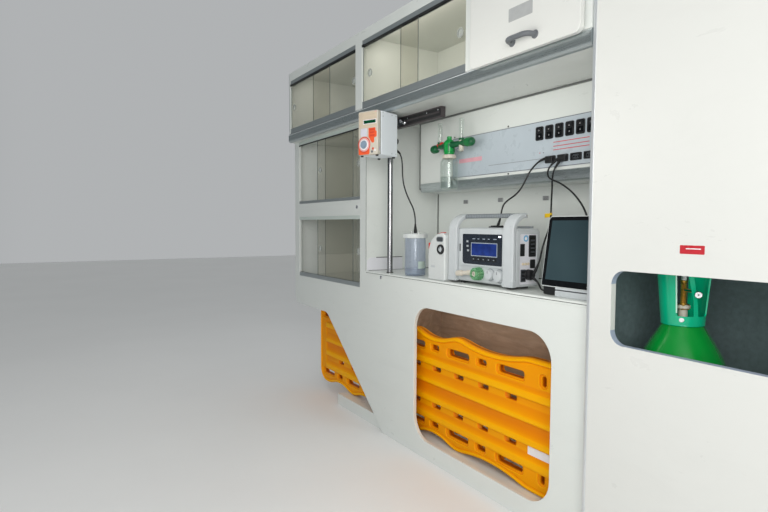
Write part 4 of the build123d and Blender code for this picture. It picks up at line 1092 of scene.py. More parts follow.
clamp = Piece("pole_clamp_finished")
clamp.at = pump.at
clamp.slab(rounded([(-103, 138.6), (-27, 138.6), (-27, 147), (-62, 149), (-66, 205), (-74, 216), (-98, 216), (-106, 205), (-106, 149), (-103, 147)][::-1], [3, 4, 6, 8, 6, 4, 4, 3, 2, 2], 5),
           "z", 1292, 1338, BLACK, r=2.5)
clamp.slab(rrect(-100, 1285, -30, 1345, 5), "y", 138.4, 145.6, DGREY, r=1.0)
for x, z in ((-94, 1291), (-36, 1291), (-94, 1339), (-36, 1339)):
    clamp.screw((x, 145.6, z), (0, 1, 0), 3.4)
clamp.rod((-86, 216, 1315), (-86, 228, 1315), 5, STEEL)
clamp.lathe((-86, 228, 1315), (0, 1, 0), [(0, 0), (12, 0), (15, 2), (15, 14), (12.6, 17), (0, 18)], BLACK, 36)
clamp.done("cabinet", slot="black_plastic")
pole = Piece("pole_finished")
pole.lathe((-448, -100, 725), (0, 0, 1), [(0, 0), (12.5, 0), (12.5, 692), (0, 692)], CHROME_POLE, 48)
pole.lathe((-448, -100, 725), (0, 0, 1), [(12.4, 0), (15.6, 0), (15.4, 2.4), (13.6, 3.6), (12.4, 3.6)], RUBBER, 40)
pole.lathe((-448, -100, 1417), (0, 0, -1), [(12.4, 0), (24, 0), (24, 3), (22.6, 4.4), (16, 5), (15, 12), (12.4, 13)], STEEL, 40)
pole.done("cabinet", "pole", "chrome")

rail = Piece("equipment_rail_finished")
rail.slab(rounded([(-60, 1373), (-36, 1373), (-36, 1417), (-60, 1417)], 1.5, 3), "x", -475, -138, RAIL, r=1.2)
rail.slab(rrect(-474, 1379, -139, 1411, 2), "y", -61.2, -59.6, RUBBER, holes=[rrect(-466, 1391, -147, 1399, 2)], r=0.5)
for x in (-452, -372, -232, -156):
    rail.screw((x, -61.2, 1404), (0, -1, 0), 3.6)
rail.slab(rrect(-452, 1380, -418, 1412, 3), "y", -88, -60, DGREY, r=2)
rail.rod((-404, -80, 1395), (-404, -60, 1395), 7, STEEL)
rail.lathe((-392, -61, 1388), (0, -1, 0), [(0, 0), (9, 0), (9, 4), (6, 8), (6, 16), (0, 17)], STEEL, 24)
rail.done("cabinet", "equipment_rail", "black_plastic")


# ---------------------------------------------------------------- what stands on the counter
def curved(p, c, r, a0, a1, z0, z1, mat, thick=0.5, n=18):
    """A thin patch wrapped on an upright cylinder, from angle a0 to a1."""
    t = bmesh.new()
    rows = []
    for i in range(n + 1):
        a = math.radians(a0 + (a1 - a0) * i / n)
        rows.append([t.verts.new((c[0] + q * math.cos(a), c[1] + q * math.sin(a), z)) for q, z in ((r - thick, z0), (r, z0), (r, z1), (r - thick, z1))])
    for a, b in zip(rows, rows[1:]):
        for i in range(4):
            j = (i + 1) % 4
            t.faces.new((a[i], a[j], b[j], b[i]))
    t.faces.new(rows[0])
    t.faces.new(rows[-1])
    return p.take(t, mat)


JX, JY = -283.0, -78.0
jar = Piece("suction_jar_finished")
jar.lathe((JX, JY, 725), (0, 0, 1), [(0, 1.5), (30, 1.5), (33, 0), (41, 0), (44, 2), (45, 6), (45, 150), (44.2, 153), (45, 156), (45, 160), (42.4, 160), (42.4, 6.5), (40, 4), (34, 3.4),
                                    (0, 4.4)], JAR, 64)
jar.lathe((JX, JY, 729.6), (0, 0, 1), [(0, 0), (40, 0), (42, 2.4), (42, 26), (0, 26)], JAR_LOW, 64)
curved(jar, (JX, JY), 45.5, -20, 28, 757, 787, LABEL_PALE)
for k in range(10):
    curved(jar, (JX, JY), 45.3, -66 - (3 if k % 2 else 0), -58, 748 + 12 * k, 749 + 12 * k, INK_GREY, 0.3, 3)
jar.rod((JX + 14, JY - 6, 790), (JX + 14, JY - 6, 884), 5, RING)
jar.done("cabinet", "suction_jar", "jar_plastic", sharp=50)
lid = Piece("suction_jar_lid_finished")
lid.lathe((JX, JY, 884), (0, 0, 1), [(0, 0.4), (51, 0.4), (52.4, 1.6), (52.4, 15.6), (50.6, 18.6), (46, 20), (20, 20), (17, 18.6), (0, 18.6)], WHITE, 72)
for k in range(44):
    a = 2 * math.pi * k / 44
    lid.rod((JX + 52.1 * math.cos(a), JY + 52.1 * math.sin(a), 886), (JX + 52.1 * math.cos(a), JY + 52.1 * math.sin(a), 899), 0.95, WHITE, n=8, e=0.3)
for x in (-308.0, -258.0):
    lid.lathe((x, JY, 903), (0, 0, 1), [(0, 0), (7, 0), (7, 2.4), (5, 3.4), (4.4, 9), (5, 10.4), (4.2, 13), (2.4, 13), (2.4, 3), (0, 3)], CLEAR_WHITE, 28)
lid.lathe((JX, JY, 902), (0, 0, 1), [(0, 0), (11, 0), (11, 1.8), (9.6, 3.4), (0, 3.6)], LGREY, 32)
lid.done("cabinet", "suction_jar_lid", "white_plastic")

suc = Piece("suction_unit_finished")
face_o = rounded([(-119, 725.4), (-14, 725.4), (-14, 910), (-119, 910)], [8, 8, 20, 84], 18, 0.82)
suc.slab(face_o, "y", -133, -60, WHITE, r=6, seg=5)
suc.slab(inset(face_o, 2.4), "y", -61, -56, MGREY, r=0.4)
suc.slab(inset(face_o, 0.6), "y", -57, -10.4, WHITE, r=3, seg=3)
trim_o = rounded([(-121.6, 812), (-100, 812), (-96, 836), (-48, 892), (-30, 896), (-30, 912.6), (-121.6, 912.6)], [0, 0, 0, 0, 0, 0, 86], 18, 0.96)
suc.slab(trim_o, "y", -124, -112, RED, r=1.2)
suc.box((-127, -125, 846), (-116, -112, 870), RED, 2, 3)
suc.slab(rrect(-66, 875, -22, 896, 10, 8), "y", -133.6, -131, MGREY, holes=[rrect(-63, 878, -25, 893, 7.4, 8)], r=0.6)
suc.slab(rrect(-64, 877, -24, 894, 8, 8), "y", -133.1, -131, DGREY, r=0.2)
suc.lathe((-36, -133, 847), (0, -1, 0), [(0, 0), (19, 0), (19.4, 1), (19, 5), (17, 7.6), (13, 7.8), (11.6, 5), (11.6, 2.4), (0, 2.4)], BLACK, 48)
suc.lathe((-36, -133, 847), (0, -1, 0), [(0, 2), (10.8, 2), (10.8, 3.6), (8, 6.4), (0, 7)], LGREY, 40)
suc.slab(rrect(-37.2, 849, -34.8, 856, 0.8), "y", -140.3, -139, INK_GREY, r=0.2)
suc.slab(rrect(-104, 742, -34, 790, 6), "y", -133.7, -132, WHITE, r=0.8)
suc.slab(rrect(-98, 775, -72, 783, 2), "y", -134.0, -133, LGREY, r=0.2)
for x in (-102, -31):
    suc.box((x - 8, -126, 725), (x + 8, -18, 727), RUBBER, 0.6)
suc.done("cabinet", "suction_unit", "white_plastic")

# transport ventilator
ven = Piece("ventilator_finished")
ven.slab(rrect(-103, 733, 10, 930, [10, 10, 12, 12], 8), "x", 6, 322, WHITE_COOL, r=3.5, seg=4)
on = lambda o, m, y=-103.4, r=0.15: ven.slab(o, "y", y, -102.6, m, r=r)
ven.slab(rrect(48, 792, 272, 917, 9, 6), "y", -106.4, -102, WHITE_COOL, holes=[rrect(56.5, 799, 263.5, 908, [14, 5, 5, 5], 6)], r=1.6, seg=4)
on(rrect(55.5, 798, 264.5, 909, [14, 5, 5, 5], 6), NAVY, -103.9)
ven.slab(rrect(103.4, 828.4, 238.6, 877.6, 3), "y", -104.7, -103.5, LCD_RIM, holes=[rrect(106.4, 831.4, 235.6, 874.6, 1.6)], r=0.2)
on(rrect(105.6, 830.6, 236.4, 875.4, 1.6), LCD_BLUE, -104.2)
for x, z in ((83, 881), (84, 864), (87, 848)):
    on(rrect(x - 6, z - 4, x + 6, z + 4, 1.6), MGREY, -104.3)
    on(rrect(x - 3.6, z - 2, x + 3.6, z + 2, 0.8), LGREY, -104.5)
for k, w in enumerate((15, 10, 13, 9, 16)):
    on(rrect(110 + 27 * k, 889.6, 110 + 27 * k + w, 892.4, 0.6), LCD_RIM, -104.15)
for k in range(5):
    x = 119 + 26 * k
    ven.slab(rrect(x - 10.4, 811, x + 10.4, 825, 4), "y", -105.3, -103.2, BLACK, r=0.8, seg=3)
    on(rrect(x - 3.4, 816.4, x + 2.6, 819.8, 0.8), LCD_RIM, -105.55)
on(rrect(243, 897.4, 256, 902.6, 1), GLOW_WHITE, -104.5)
ven.box((12, -104.2, 789.4), (318, -101, 791.6), LGREY, 0.6)
ven.slab(rrect(14, 741, 48, 786, 4), "y", -104.2, -102, WHITE_COOL, r=0.8)
ven.slab(rrect(38.5, 843, 44, 871, 1.6), "y", -103.6, -102, BLACK, r=0.2)
# front connectors and knobs
ven.lathe((118, -111, 769), Vector((-74, -12, -8)), [(0, 0), (7.2, 0), (8.6, 4), (8.6, 12), (10, 13), (10, 17), (8.4, 19), (8.0, 44), (10.4, 46), (10.8, 60), (9.8, 71), (8.6, 72), (7.2, 71), (7.2, 50), (0, 50)],
          CREAM, 40)
ven.lathe((152, -103, 767), (0, -1, 0), [(0, 0), (20, 0), (22.6, 2), (22.6, 9), (20.4, 12), (19.6, 22), (21.4, 24), (21.4, 29), (17, 33), (12.6, 34), (12.6, 20), (0, 20)], GREEN_CLEAR, 40)
ven.lathe((152, -103, 767), (0, -1, 0), [(0, 0), (9, 0), (9, 22), (10.4, 25), (8.6, 31), (5, 31), (5, 12), (0, 12)], CREAM, 32)
for k in range(12):
    a = 2 * math.pi * k / 12
    ven.rod((152 + 21.8 * math.cos(a), -106, 767 + 21.8 * math.sin(a)), (152 + 20.6 * math.cos(a), -130, 767 + 20.6 * math.sin(a)), 1.7, GREEN_CLEAR, n=10)
for x, z, r in ((206, 767, 19.5), (252, 765, 21.5)):
    ven.lathe((x, -103, z), (0, -1, 0), [(0, 0.2), (r + 2.4, 0.2), (r + 2.4, 1.0), (r + 1.2, 1.6), (r - 0.4, 1.2)], MGREY, 56)
    ven.lathe((x, -103, z), (0, -1, 0), [(0, 0), (r, 0), (r - 0.4, 2), (r - 2.2, 13), (r - 3.6, 15.4), (r - 7, 16.2), (0, 15.6)], WHITE_COOL, 56)
    for k in range(18):
        a = 2 * math.pi * k / 18
        ven.rod((x + (r - 0.9) * math.cos(a), -106, z + (r - 0.9) * math.sin(a)), (x + (r - 2.8) * math.cos(a), -116, z + (r - 2.8) * math.sin(a)), 1.1, WHITE_COOL, n=8, e=0.4)
    ven.slab(rrect(x - 1.2, z + r * 0.25, x + 1.2, z + r * 0.72, 1), "y", -119.6, -118, INK_GREY, r=0.2)
# connector side
side = lambda o, m, x=323, r=0.3: ven.slab(o, "x", x, 321.4, m, r=r)
ven.slab(rrect(-101, 735, 8, 923, 8, 6), "x", 325.4, 321, WHITE_COOL, holes=[rrect(-84, 742, -5, 911, 5, 6)], r=1.8, seg=4)
side(rrect(-85, 741, -4, 912, 5), SIDE_LILAC, 322.4)
ven.lathe((322, -55, 896), (1, 0, 0), [(0, 1.2), (7, 1.2), (9.6, 2), (11, 1.4), (11, 0), (0, 0)], BLUE_PALE, 36)
ven.lathe((322, -55, 896), (1, 0, 0), [(0, 2.4), (4, 2.2), (5.6, 1.2), (0, 1.0)], LABEL_WHITE, 28)
side(rrect(-81, 837, -61, 878, 2), BLACK, 324.2, 0.8)
side(rrect(-41, 834, -8, 907, 3), BLACK, 324.6, 1.0)
side(rrect(-36, 842, -13, 899, 2), BLACK_GLOSS, 325.0, 0.3)
for k in range(4):
    side(rrect(-34, 848 + 13 * k, -15, 853 + 13 * k, 1), DGREY, 325.4, 0.3)
for k in range(3):
    ven.lathe((322, -68 + 12.5 * k, 810.5), (1, 0, 0), [(0, 4), (2.6, 4), (2.8, 3.4), (4.6, 3.2), (4.9, 0), (0, 0)], TAN, 24)
side(rrect(-34, 795, -10, 825, 3), BLACK, 324.4, 0.8)
side(rrect(-78, 750, -54, 792, 3), DGREY, 324.0, 0.8)
for k in range(3):
    side(rrect(-74, 755 + 12 * k, -58, 763 + 12 * k, 1.4), BLACK, 324.8, 0.4)
ven.lathe((322, -43, 774), (1, 0, 0), [(0, 0), (18, 0), (18, 4), (17, 5), (0, 5)], BLACK, 48)
# top, back and feet
ven.slab(rrect(246, -20, 312, -6, 3), "z", 937, 929, MGREY, r=1.5)
ven.slab(rrect(60, -70, 260, -6, 6), "z", 931.4, 929, WHITE_COOL, r=0.8)
for k in range(9):
    ven.slab(rrect(60, 800 + 12 * k, 190, 804.4 + 12 * k, 2), "y", 10.5, 9.6, DGREY, r=0.2)
ven.slab(rrect(214, 760, 300, 800, 3), "y", 10.8, 9.6, BLACK, r=0.5)
for x, z in ((16, 743), (312, 743), (16, 920), (312, 920)):
    ven.screw((x, 10, z), (0, 1, 0), 3.2)
for x in (30, 270):
    ven.box((x, -90, 725), (x + 24, -10, 734), RUBBER, 1.5, 3)
ven.done("cabinet", "ventilator", "white_plastic")

cage = Piece("ventilator_cage_finished")


def band(g=0.0):
    """A band's outline in Y and Z, grown outwards by g."""
    return [(-118 - g, 733)] + arc(-56, 918, 62 + g, 180, 90, 18) + [(-50, 980 + g), (-50, 965)] + arc(-56, 918, 47, 90, 180, 18) + [(-103, 733)]


for x0, x1 in ((-10, 36), (277, 326)):
    cage.slab(band(), "x", x0, x1, WHITE_COOL, r=3.6, seg=4)
    cage.slab(band(1.4), "x", x0 + 9, x1 - 9, WHITE_COOL, r=1.0, seg=2)
    cage.slab(rrect(-119, 733, -102, 752, 2), "x", x0 - 0.8, x1 + 0.8, LGREY, r=1.5)
    cage.screw((x1, -58, 972.5), (1, 0, 0), 3.0)
    cage.screw((x0, -58, 972.5), (-1, 0, 0), 3.0)
cage.box((36, -78, 965), (277, -52, 980), MGREY, 5.5, 4)
for k in range(26):
    cage.box((46 + 8.8 * k, -78.6, 966.5), (49.4 + 8.8 * k, -51.4, 980.5), DGREY_SOFT, 1.2, 2)
cage.done("cabinet", "ventilator_cage", "white_plastic")

# patient monitor: its screen leans back, and is drawn upright from its lower front edge
mon = Piece("patient_monitor_screen")
mon.at = Matrix.Translation((0, -112, 752)) @ Matrix.Rotation(math.radians(-8.865), 4, "X")
mon.slab(rrect(440, 0.6, 648, 220.2, [8, 8, 10, 15], 8), "y", 1.0, 13, WHITE, r=1.4, seg=3)
mon.slab(rrect(442.6, 3.2, 645.6, 217.8, [6, 6, 8, 13], 8), "y", 0.2, 2.6, BLACK_GLOSS, r=0.6)
mon.slab(rrect(455, 22, 634, 206, 1.5), "y", 0.12, 1.0, SCREEN, r=0.02)
mon.slab(rrect(441.6, 2.2, 646.6, 218.8, [8, 8, 10, 14], 8), "y", 12.6, 26, BLACK, r=3.5, seg=3)
mon.slab(rrect(608, 9.6, 622, 12.2, 0.6), "y", 0.05, 0.6, MGREY, r=0.05)
mon.lathe((630, 0.2, 11), (0, -1, 0), [(0, 0.25), (1.7, 0.2), (2.0, 0), (0, 0)], GREEN, 16)
mon.slab(rrect(500, 40, 590, 140, 3), "y", 27.4, 25, DGREY, r=0.8)
mon.done("cabinet", "patient_monitor", "screen")
base = Piece("patient_monitor_base")
base.box((500, -117.6, 725), (648, -20, 743.6), WHITE_COOL, 3, 4)
base.box((503, -115, 743), (646, -22, 747), DGREY, 0.6)
base.box((500.6, -117, 746.6), (648, -20, 753.4), WHITE_COOL, 1.6, 3)
base.box((440, -100, 725), (501, -60, 751), BLACK, 3.4, 4)
base.box((452, -96, 749), (492, -62, 757), BLACK, 2, 2)
base.slab(rrect(517, 728.6, 560, 740.6, 3), "y", -118.1, -117, LGREY, r=0.4)
base.done("cabinet", slot="white_plastic")


# ---------------------------------------------------------------- ends of the leads: plugs and tapered, ribbed strain reliefs
def route(cord):
    """Points close together along a lead's own line, in millimetres."""
    c = cord.data.copy()
    c.bevel_depth = 0
    o = bpy.data.objects.new("route", c)
    me = bpy.data.meshes.new_from_object(o)
    pts = [v.co / MM for v in me.vertices]
    bpy.data.meshes.remove(me)
    bpy.data.objects.remove(o)
    bpy.data.curves.remove(c)
    return pts


def along(pts, step=0.8, length=30.0):
    out, left, need = [pts[0].copy()], 0.0, step
    for a, b in zip(pts, pts[1:]):
        seg = (b - a).length
        while seg > 1e-9 and left + seg >= need:
            out.append(a + (b - a) * ((need - left) / seg))
            need += step
            if need > length + 1e-6:
                return out
        left += seg
    return out


def boot(p, pts, length, r0, r1=3.7, back=0.0, mat=None):
    """A strain relief that tapers along a lead from its end, with grip ribs. back is how far it reaches into the housing."""
    mat = RUBBER if mat is None else mat
    pts = along(pts, 0.8, length)
    d = (pts[0] - pts[1]).normalized()
    n = max(1, int(back / 0.8))
    line = [pts[0] + d * back * (1 - i / n) for i in range(n)] + pts
    total = len(line)
    rad = []
    for i in range(total):
        f = max(0.0, (i - n) / max(1, total - n - 1))
        r = r0 + (r1 - r0) * f
        if f > 0.04 and f < 0.8 and i % 4 in (0, 1):
            r -= 0.5
        rad.append(r)
    rad[-1] = 3.05
    return p.tube(line, rad, mat, 20)


R_PUMP, R_VENT, R_MON, R_CON, R_BASE = (route(c) for c in (cord_pump, cord_vent, cord_mon, cord_con, cord_base))
e = Piece("lead_ends_pump_to_jar")
boot(e, R_PUMP, 24, 5.2, back=14)
boot(e, R_PUMP[::-1], 26, 7.2, back=13)
e.done("cabinet", "cord_plugs", "black_plastic")
e = Piece("lead_ends_ventilator")
e.box((276, 80, 1162), (307, 94.4, 1183), BLACK, 3, 4)
e.box((280, 77.6, 1165), (303, 82, 1180), RUBBER, 1.6, 3)
boot(e, R_VENT, 22, 5.0, back=14)
e.box((118, -34, 930), (184, -10, 936), BLACK, 2, 3)
e.box((126, -31, 935), (172, -11, 939), RUBBER, 1.6, 3)
boot(e, R_VENT[::-1], 20, 5.0, back=9)
e.done("cabinet", "cord_plugs", "black_plastic")
e = Piece("lead_ends_monitor")
e.box((330, 80, 1162), (362, 94.4, 1183), BLACK, 3, 4)
e.box((334, 77.6, 1165), (358, 82, 1180), RUBBER, 1.6, 3)
boot(e, R_MON, 20, 4.6, back=12)
boot(e, R_MON[::-1], 22, 5.4, back=24)
e.done("cabinet", "cord_plugs", "black_plastic")
e = Piece("lead_ends_connector")
boot(e, R_CON, 20, 4.6, back=12)
e.lathe((327, -43, 774), (1, 0, 0), [(0, -1), (15.6, -1), (15.6, 1), (17, 2), (17, 12), (15, 15), (7, 16.4), (0, 16.6)], BLACK, 48)
for k in range(20):
    a = 2 * math.pi * k / 20
    e.rod((330, -43 + 16.7 * math.cos(a), 774 + 16.7 * math.sin(a)), (338, -43 + 16.7 * math.cos(a), 774 + 16.7 * math.sin(a)), 1.0, RUBBER, n=8, e=0.3)
boot(e, R_CON[::-1], 22, 5.2, back=18)
e.done("cabinet", "cord_plugs", "black_plastic")
e = Piece("lead_ends_monitor_base")
boot(e, R_BASE, 20, 5.0, back=12)
boot(e, R_BASE[::-1], 20, 5.0, back=3)
e.done("cabinet", "cord_plugs", "black_plastic")
e = Piece("lead_tag")
e.lathe((362.4, 19.2, 967), (0.05, -0.1, 1.0), [(3.2, 0), (4.4, 0), (4.4, 15), (3.2, 15), (3.2, 0)], YELLOW, 24)
e.slab(rounded([(336, 966), (359, 968), (360, 981), (337, 980)], 2, 4), "y", 17.4, 18.6, YELLOW, r=0.4)
e.done("cabinet")

# ---------------------------------------------------------------- oxygen cylinder behind the tall locker's window
CX, CY = 845.0, -33.0
cyl = Piece("oxygen_cylinder_painted")
cyl.lathe((CX, CY, 0), (0, 0, 1), [(0, 17), (60, 17), (78, 15.4), (92, 17), (99, 21), (102, 28), (102, 566), (101, 582), (97, 597), (90, 613), (81, 630), (71, 648), (61, 664), (53, 678), (48, 689), (46, 690), (0, 690)],
          ENAMEL, 96)
curved(cyl, (CX, CY), 102.3, -120, -52, 380, 520, LABEL_WHITE, 0.3, 24)
cyl.done("cabinet", "oxygen_cylinder", "green_paint", sharp=50)


def wall(p, c, outline, holes, r_in, r_out, mat, grid=6.0):
    """A wall on a round, from an outline in degrees and height. r_in and r_out give its radii at a height."""
    t = bmesh.new()
    a0, a1 = min(q[0] for q in outline), max(q[0] for q in outline)
    z0, z1 = min(q[1] for q in outline), max(q[1] for q in outline)
    loops = [outline, *holes]

    def dense(loop):
        out = []
        for i in range(len(loop)):
            a, b = Vector(loop[i]), Vector(loop[(i + 1) % len(loop)])
            n = max(1, int(abs(b.x - a.x) / grid + 0.999), int(abs(b.y - a.y) / 24 + 0.999))
            out += [tuple(a + (b - a) * j / n) for j in range(n)]
        return out

    loops = [dense(q) for q in loops]
    na, nz = int((a1 - a0) / grid), int((z1 - z0) / 22)
    pts = [(a0 + (a1 - a0) * (i + 0.5) / na, z0 + (z1 - z0) * (j + 0.5) / nz) for i in range(na) for j in range(nz)]
    keep = inside(np.array(pts), loops[0])
    for h in loops[1:]:
        keep &= ~inside(np.array(pts), h)
    v, f = fill(loops[0], loops[1:], (), [q for q, k in zip(pts, keep) if k])

    def at(q, rr):
        a, r = math.radians(q[0]), rr(q[1])
        return (c[0] + r * math.cos(a), c[1] + r * math.sin(a), q[1])

    for rr in (r_in, r_out):
        made = [t.verts.new(at(q, rr)) for q in v]
        for tri in f:
            t.faces.new([made[i] for i in tri])
    for loop in loops:
        a = [t.verts.new(at(q, r_in)) for q in loop]
        b = [t.verts.new(at(q, r_out)) for q in loop]
        for i in range(len(loop)):
            j = (i + 1) % len(loop)
            t.faces.new((a[i], a[j], b[j], b[i]))
    bmesh.ops.remove_doubles(t, verts=t.verts, dist=1e-3)
    return p.take(t, mat)


guard = Piece("valve_guard_moulded")
ports = [rounded([(-76, 714), (-34, 714), (-37, 748), (-59, 852), (-77, 852)], [6, 4, 4, 4, 5], 5), rounded([(-22, 714), (14, 714), (14, 852), (-48, 852), (-27, 748)], [4, 6, 6, 3, 4], 5),
         rounded([(108, 714), (146, 714), (146, 852), (108, 852)], [6, 6, 6, 6], 5)]
wall(guard, (CX, CY), rrect(-170, 690, 190, 880, 0.02, 1), ports, lambda z: 48 + 16.5 * (z - 690) / 190, lambda z: 51.5 + 16.5 * (z - 690) / 190, ENAMEL_TEAL, 4.0)
for z, r in ((690, 51.4), (880, 67.8)):
    guard.ring((CX, CY, z), (0, 0, 1), r - 1.8, 2.4, ENAMEL_TEAL, 72, 12)
# the opening's near edge is rolled to a bead, coloured pale green as a painted highlight
bead = []
for k in range(25):
    z = 722 + 5.1 * k
    q, a = 50 + 16.5 * (z - 690) / 190, math.radians(-76.4 - 1.0 * k / 24)
    bead.append((CX + q * math.cos(a), CY + q * math.sin(a), z))
guard.tube(bead, 1.9, BEAD_HIGHLIGHT, 12)
guard.lathe((868, -79, 705), (0.35, -0.94, 0), [(0, -8), (6.4, -8), (6.4, 0), (5.4, 2.2), (0, 2.6)], LABEL_WHITE, 28)
guard.done("cabinet", "valve_guard", "green_paint", sharp=45)

val = Piece("cylinder_valve_machined")
val.lathe((CX, CY, 690), (0, 0, 1), [(0, 0), (26, 0), (26, 8), (24, 12), (12, 12), (12, 16), (0, 16)], STEEL, 48)
val.slab([(CX + 17 * math.cos(math.radians(60 * k)), CY + 17 * math.sin(math.radians(60 * k))) for k in range(6)], "z", 738, 726, BRASS, r=0.8)
val.lathe((CX, CY, 700), (0, 0, 1), [(0, 0), (11, 0), (11, 26), (14.5, 27), (17.4, 30), (17.4, 35), (14.5, 38), (0, 38)], CREAM, 40)
prof = [(0, 36), (8.4, 36), (8.4, 40)]
for k in range(12):
    prof += [(7.8, 41 + 4.4 * k), (6.2, 43.2 + 4.4 * k)]
prof += [(7.2, 94), (8.4, 96), (8.4, 99), (7, 101), (0, 101)]
val.lathe((CX, CY, 700), (0, 0, 1), prof, BRASS, 40)
val.tube([(CX, CY, 776), (CX + 26, CY - 9.5, 776), (CX + 47, CY - 17.5, 775), (CX + 54, CY - 22, 774), (CX + 57, CY - 30, 773), (CX + 58, CY - 37, 772)], [4.6, 4.4, 4.0, 4.0, 4.0, 4.0], STEEL, 20)
gd = Vector((0.45, -0.88, 0.06))
gc = Vector((907, -78, 772))
val.lathe(gc, gd, [(0, -9), (7, -9), (8.4, -7), (8.4, 0.6), (7.6, 1.2), (7.0, 0.6), (7.0, -0.4), (0, -0.4)], STEEL, 40)
val.lathe(gc, gd, [(0, -0.5), (6.9, -0.5), (6.9, 0.0), (0, 0.05)], LABEL_WHITE, 36)
val.lathe(gc, gd, [(0, 0), (2.0, 0), (1.8, 0.8), (0, 0.9)], DGREY, 20)
val.lathe((CX, CY, 798), (0, 0, 1), [(0, 0), (6.4, 0), (6.4, 18), (0, 18)], LABEL_WHITE, 28)
val.lathe((CX, CY, 814), (0, 0, 1), [(0, 0), (9, 0), (10, 2), (16.4, 3), (19.6, 5), (20, 8), (19.6, 13), (17, 15.6), (0, 16)], BLACK, 48)
for k in range(8):
    a = 2 * math.pi * k / 8
    val.rod((CX + 19.2 * math.cos(a), CY + 19.2 * math.sin(a), 818), (CX + 19.2 * math.cos(a), CY + 19.2 * math.sin(a), 828), 2.2, BLACK, n=12)
val.done("cabinet", "cylinder_valve", "brass")

# ---------------------------------------------------------------- front end door, its pull and lock
pull = Piece("end_door_handle_bow")
line = [(1390.2, 890), (1397, 890)] + [(1397 + 16 * math.sin(math.radians(a)), 906 - 16 * math.cos(math.radians(a))) for a in range(15, 91, 15)]
line += [(1413, 906 + 88 * i / 4) for i in range(1, 5)] + [(1413 - 16 + 16 * math.cos(math.radians(a)), 994 + 16 * math.sin(math.radians(a))) for a in range(15, 91, 15)] + [(1390.2, 1010)]
pull.tube([(x, -95, z) for x, z in line], 6.9, STEEL, 24)
for z in (890, 1010):
    pull.lathe((1390, -95, z), (1, 0, 0), [(0, -0.2), (13, -0.2), (13, 1.4), (11.6, 2.6), (7.2, 3), (0, 3)], STEEL, 40)
pull.done("end_door", "end_door_handle", "dark_grey_plastic", sharp=45)


def lock(name, p, d, r, body="cabinet"):
    q = Piece(name)
    q.lathe(p, d, [(0, -0.3), (r, -0.3), (r, 1.0), (r * 0.9, 2.0), (r * 0.62, 2.2), (r * 0.58, 1.6), (0, 1.6)], STEEL, 36)
    d = Vector(d)
    a = Vector((0, 0, 1))
    c = Vector(p) + d * 1.5
    q.tube([c - a * r * 0.36, c + a * r * 0.36], r * 0.12, BLACK, 8)
    return q.done(body)


lock("cupboard_lock", (-671, -145, 1025), (0, -1, 0), 9)
lock("front_panel_lock", (-452, -145, 705), (0, -1, 0), 8)
lock("end_door_lock", (1390, -95, 1060), (1, 0, 0), 9, "end_door")

# ---------------------------------------------------------------- blank labels, wall plates, and dark seam strips that are partly joints and partly painted shade
lab = Piece("blank_labels")
lab.slab(rrect(916, 876, 972, 896, 2), "y", -183.4, -182.8, LABEL_RED, r=0.12)
lab.slab(rrect(930, 887, 964, 889.4, 0.8), "y", -183.5, -183.2, LABEL_WHITE, r=0.05)
lab.done("cabinet")
wp = Piece("wall_plates")
for x, z in ((-359, 1049), (-130, 1050), (122, 1048)):
    wp.slab(rrect(x - 16, z - 9, x + 16, z + 9, 2.5), "y", 263.8, 266.2, LABEL_GREY, r=0.8)
    for k in (-5, 0, 5):
        wp.slab(rrect(x - 12, z + k - 1.1, x + 12, z + k + 1.1, 1), "y", 263.5, 264.2, DGREY, r=0.1)
wp.done("cabinet")
# dark strips along the inside corners and under the counter's front edge: partly the joints, partly painted shadow
se = Piece("corner_seams_and_painted_shade")
se.box((-573, 263.6, 725), (-566, 266.2, 1094), SEAM_AND_SHADE, 0.8)
se.box((-586.2, 262, 725), (660, 266.2, 728.4), SEAM_AND_SHADE, 0.8)
se.box((-586.2, -130, 725), (-583.6, 264, 726.8), SEAM_AND_SHADE, 0.6)
se.box((656.6, -163, 725), (660.2, 264, 728), SEAM_AND_SHADE, 0.6)
se.box((-586, -145.5, 716.6), (660, -144.4, 718.4), SEAM_AND_SHADE, 0.3)
se.box((-586.4, -145.3, 725), (-585.2, -143.6, 1417), SEAM_AND_SHADE, 0.3)
se.done("cabinet")
sk = Piece("side_cover_strip")
sk.slab(rounded([(-140, 726.4), (60, 726.4), (60, 786), (-126, 786), (-140, 770)], [4, 3, 3, 20, 4], 6), "x", -583.4, -586.2, COVER, r=1.2)
# a dark line at the cover strip's upper edge: the joint, darkened as painted shade
sk.box((-583.6, -90, 784.6), (-583.0, 58, 788), SEAM_AND_SHADE, 0.2)
sk.done("cabinet")
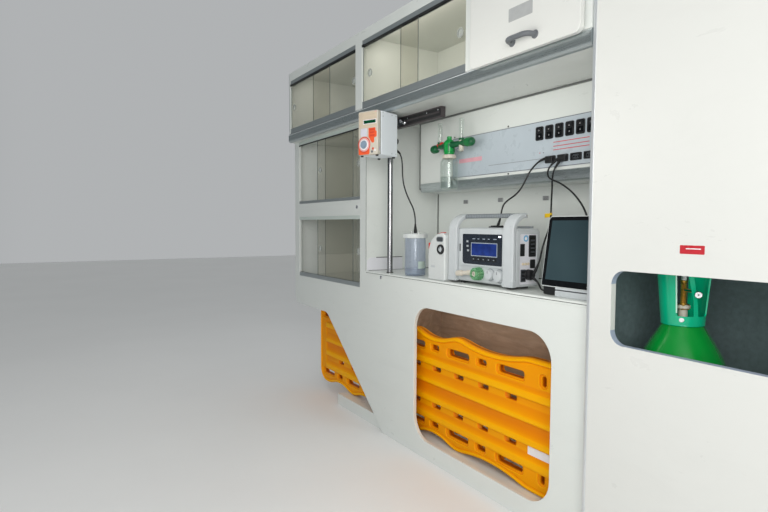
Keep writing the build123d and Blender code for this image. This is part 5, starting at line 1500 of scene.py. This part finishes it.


# ---------------------------------------------------------------- boards and profiles that keep the imported shape
# the window's cut edges get the blue-grey finish: painted shade on the white board's edge
refine("tall_front_panel", LAM_FRONT, 1.2, by_face=lambda c, k: CUT_EDGE_SHADE if abs(k.y) < 0.6 and 740 < c.x < 1255 and 620 < c.z < 840 else None)
refine("tall_side_panel", LAM_FRONT, 1.0)
refine("tall_shelves", LAM_IN, 1.0)
refine("locker_lining", LINING, 0.3)
refine("lower_front_panel", LAM, 1.4)
refine("counter_top", LAM, 1.0)
refine("cupboard_side_panel", LAM, 1.0)
refine("cupboard_shelves", LAM_IN, 0.8)
refine("rear_end_panel", LAM, 1.0)
refine("back_panel", LAM, 1.0)
refine("bay_back_panel", PLY, 0.5)
refine("bay_end_panel", PLY, 0.8)
refine("bay_floor", LAM, 0.8)
refine("overhead_fascia", LAM, 1.0)
refine("overhead_floor_and_roof", LAM_IN, 0.8)
refine("overhead_dividers", LAM, 0.8)
refine("end_frame", LAM, 1.0)
refine("fascia_box", LAM, 1.2)
# the bullnose's faces that look up and out get the paler aluminium: a painted highlight
refine("bullnose_profile", ALU, 0.0, by_face=lambda c, k: ALU_HIGHLIGHT if k.z > 0.35 and k.y < -0.35 else None)
refine("edge_profiles", ALU_POST, 1.2, 3)
refine("cupboard_pane_tracks", TRACK_PALE, 0.4, by_face=lambda c, k: TRACK if c.z < 664.5 or 1074 > c.z > 1060 else None)
refine("overhead_pane_tracks", TRACK, 0.4)
for n in sorted(NODE_OF):
    if n.endswith("_pane"):
        refine(n, PANE, 0.5, 2, by_face=lambda c, k: None if abs(k.y) > 0.9 else PANE_EDGE)

PLAIN = {
    "cord_plugs": BLACK, "cylinder_valve": BRASS, "door_hinges": ALU, "end_door": LAM, "end_door_handle": DGREY, "equipment_rail": BLACK,
    "flap_door": LAM_FRONT, "flap_handle": DGREY, "flowmeter_tubes": CLEAR, "humidifier_bottle": CLEAR, "infusion_pump": WHITE, "outlet_plate": PLATE,
    "oxygen_cylinder": ENAMEL, "oxygen_regulators": GREEN, "patient_monitor": SCREEN, "pole": CHROME_POLE, "power_sockets": BLACK, "rocker_switches": BLACK,
    "spine_board": ORANGE, "suction_jar": JAR, "suction_jar_lid": WHITE, "suction_unit": CREAM, "valve_guard": ENAMEL_TEAL, "ventilator": WHITE,
    "ventilator_cage": WHITE,
}
for n, m in PLAIN.items():
    if not NODE_OF[n].hide_render:
        refine(n, m, 0.8, 2)

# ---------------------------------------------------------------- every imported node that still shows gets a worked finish
for n, o in NODE_OF.items():
    if not o.hide_render:
        o.data.materials.clear()
        o.data.materials.append(LAM)
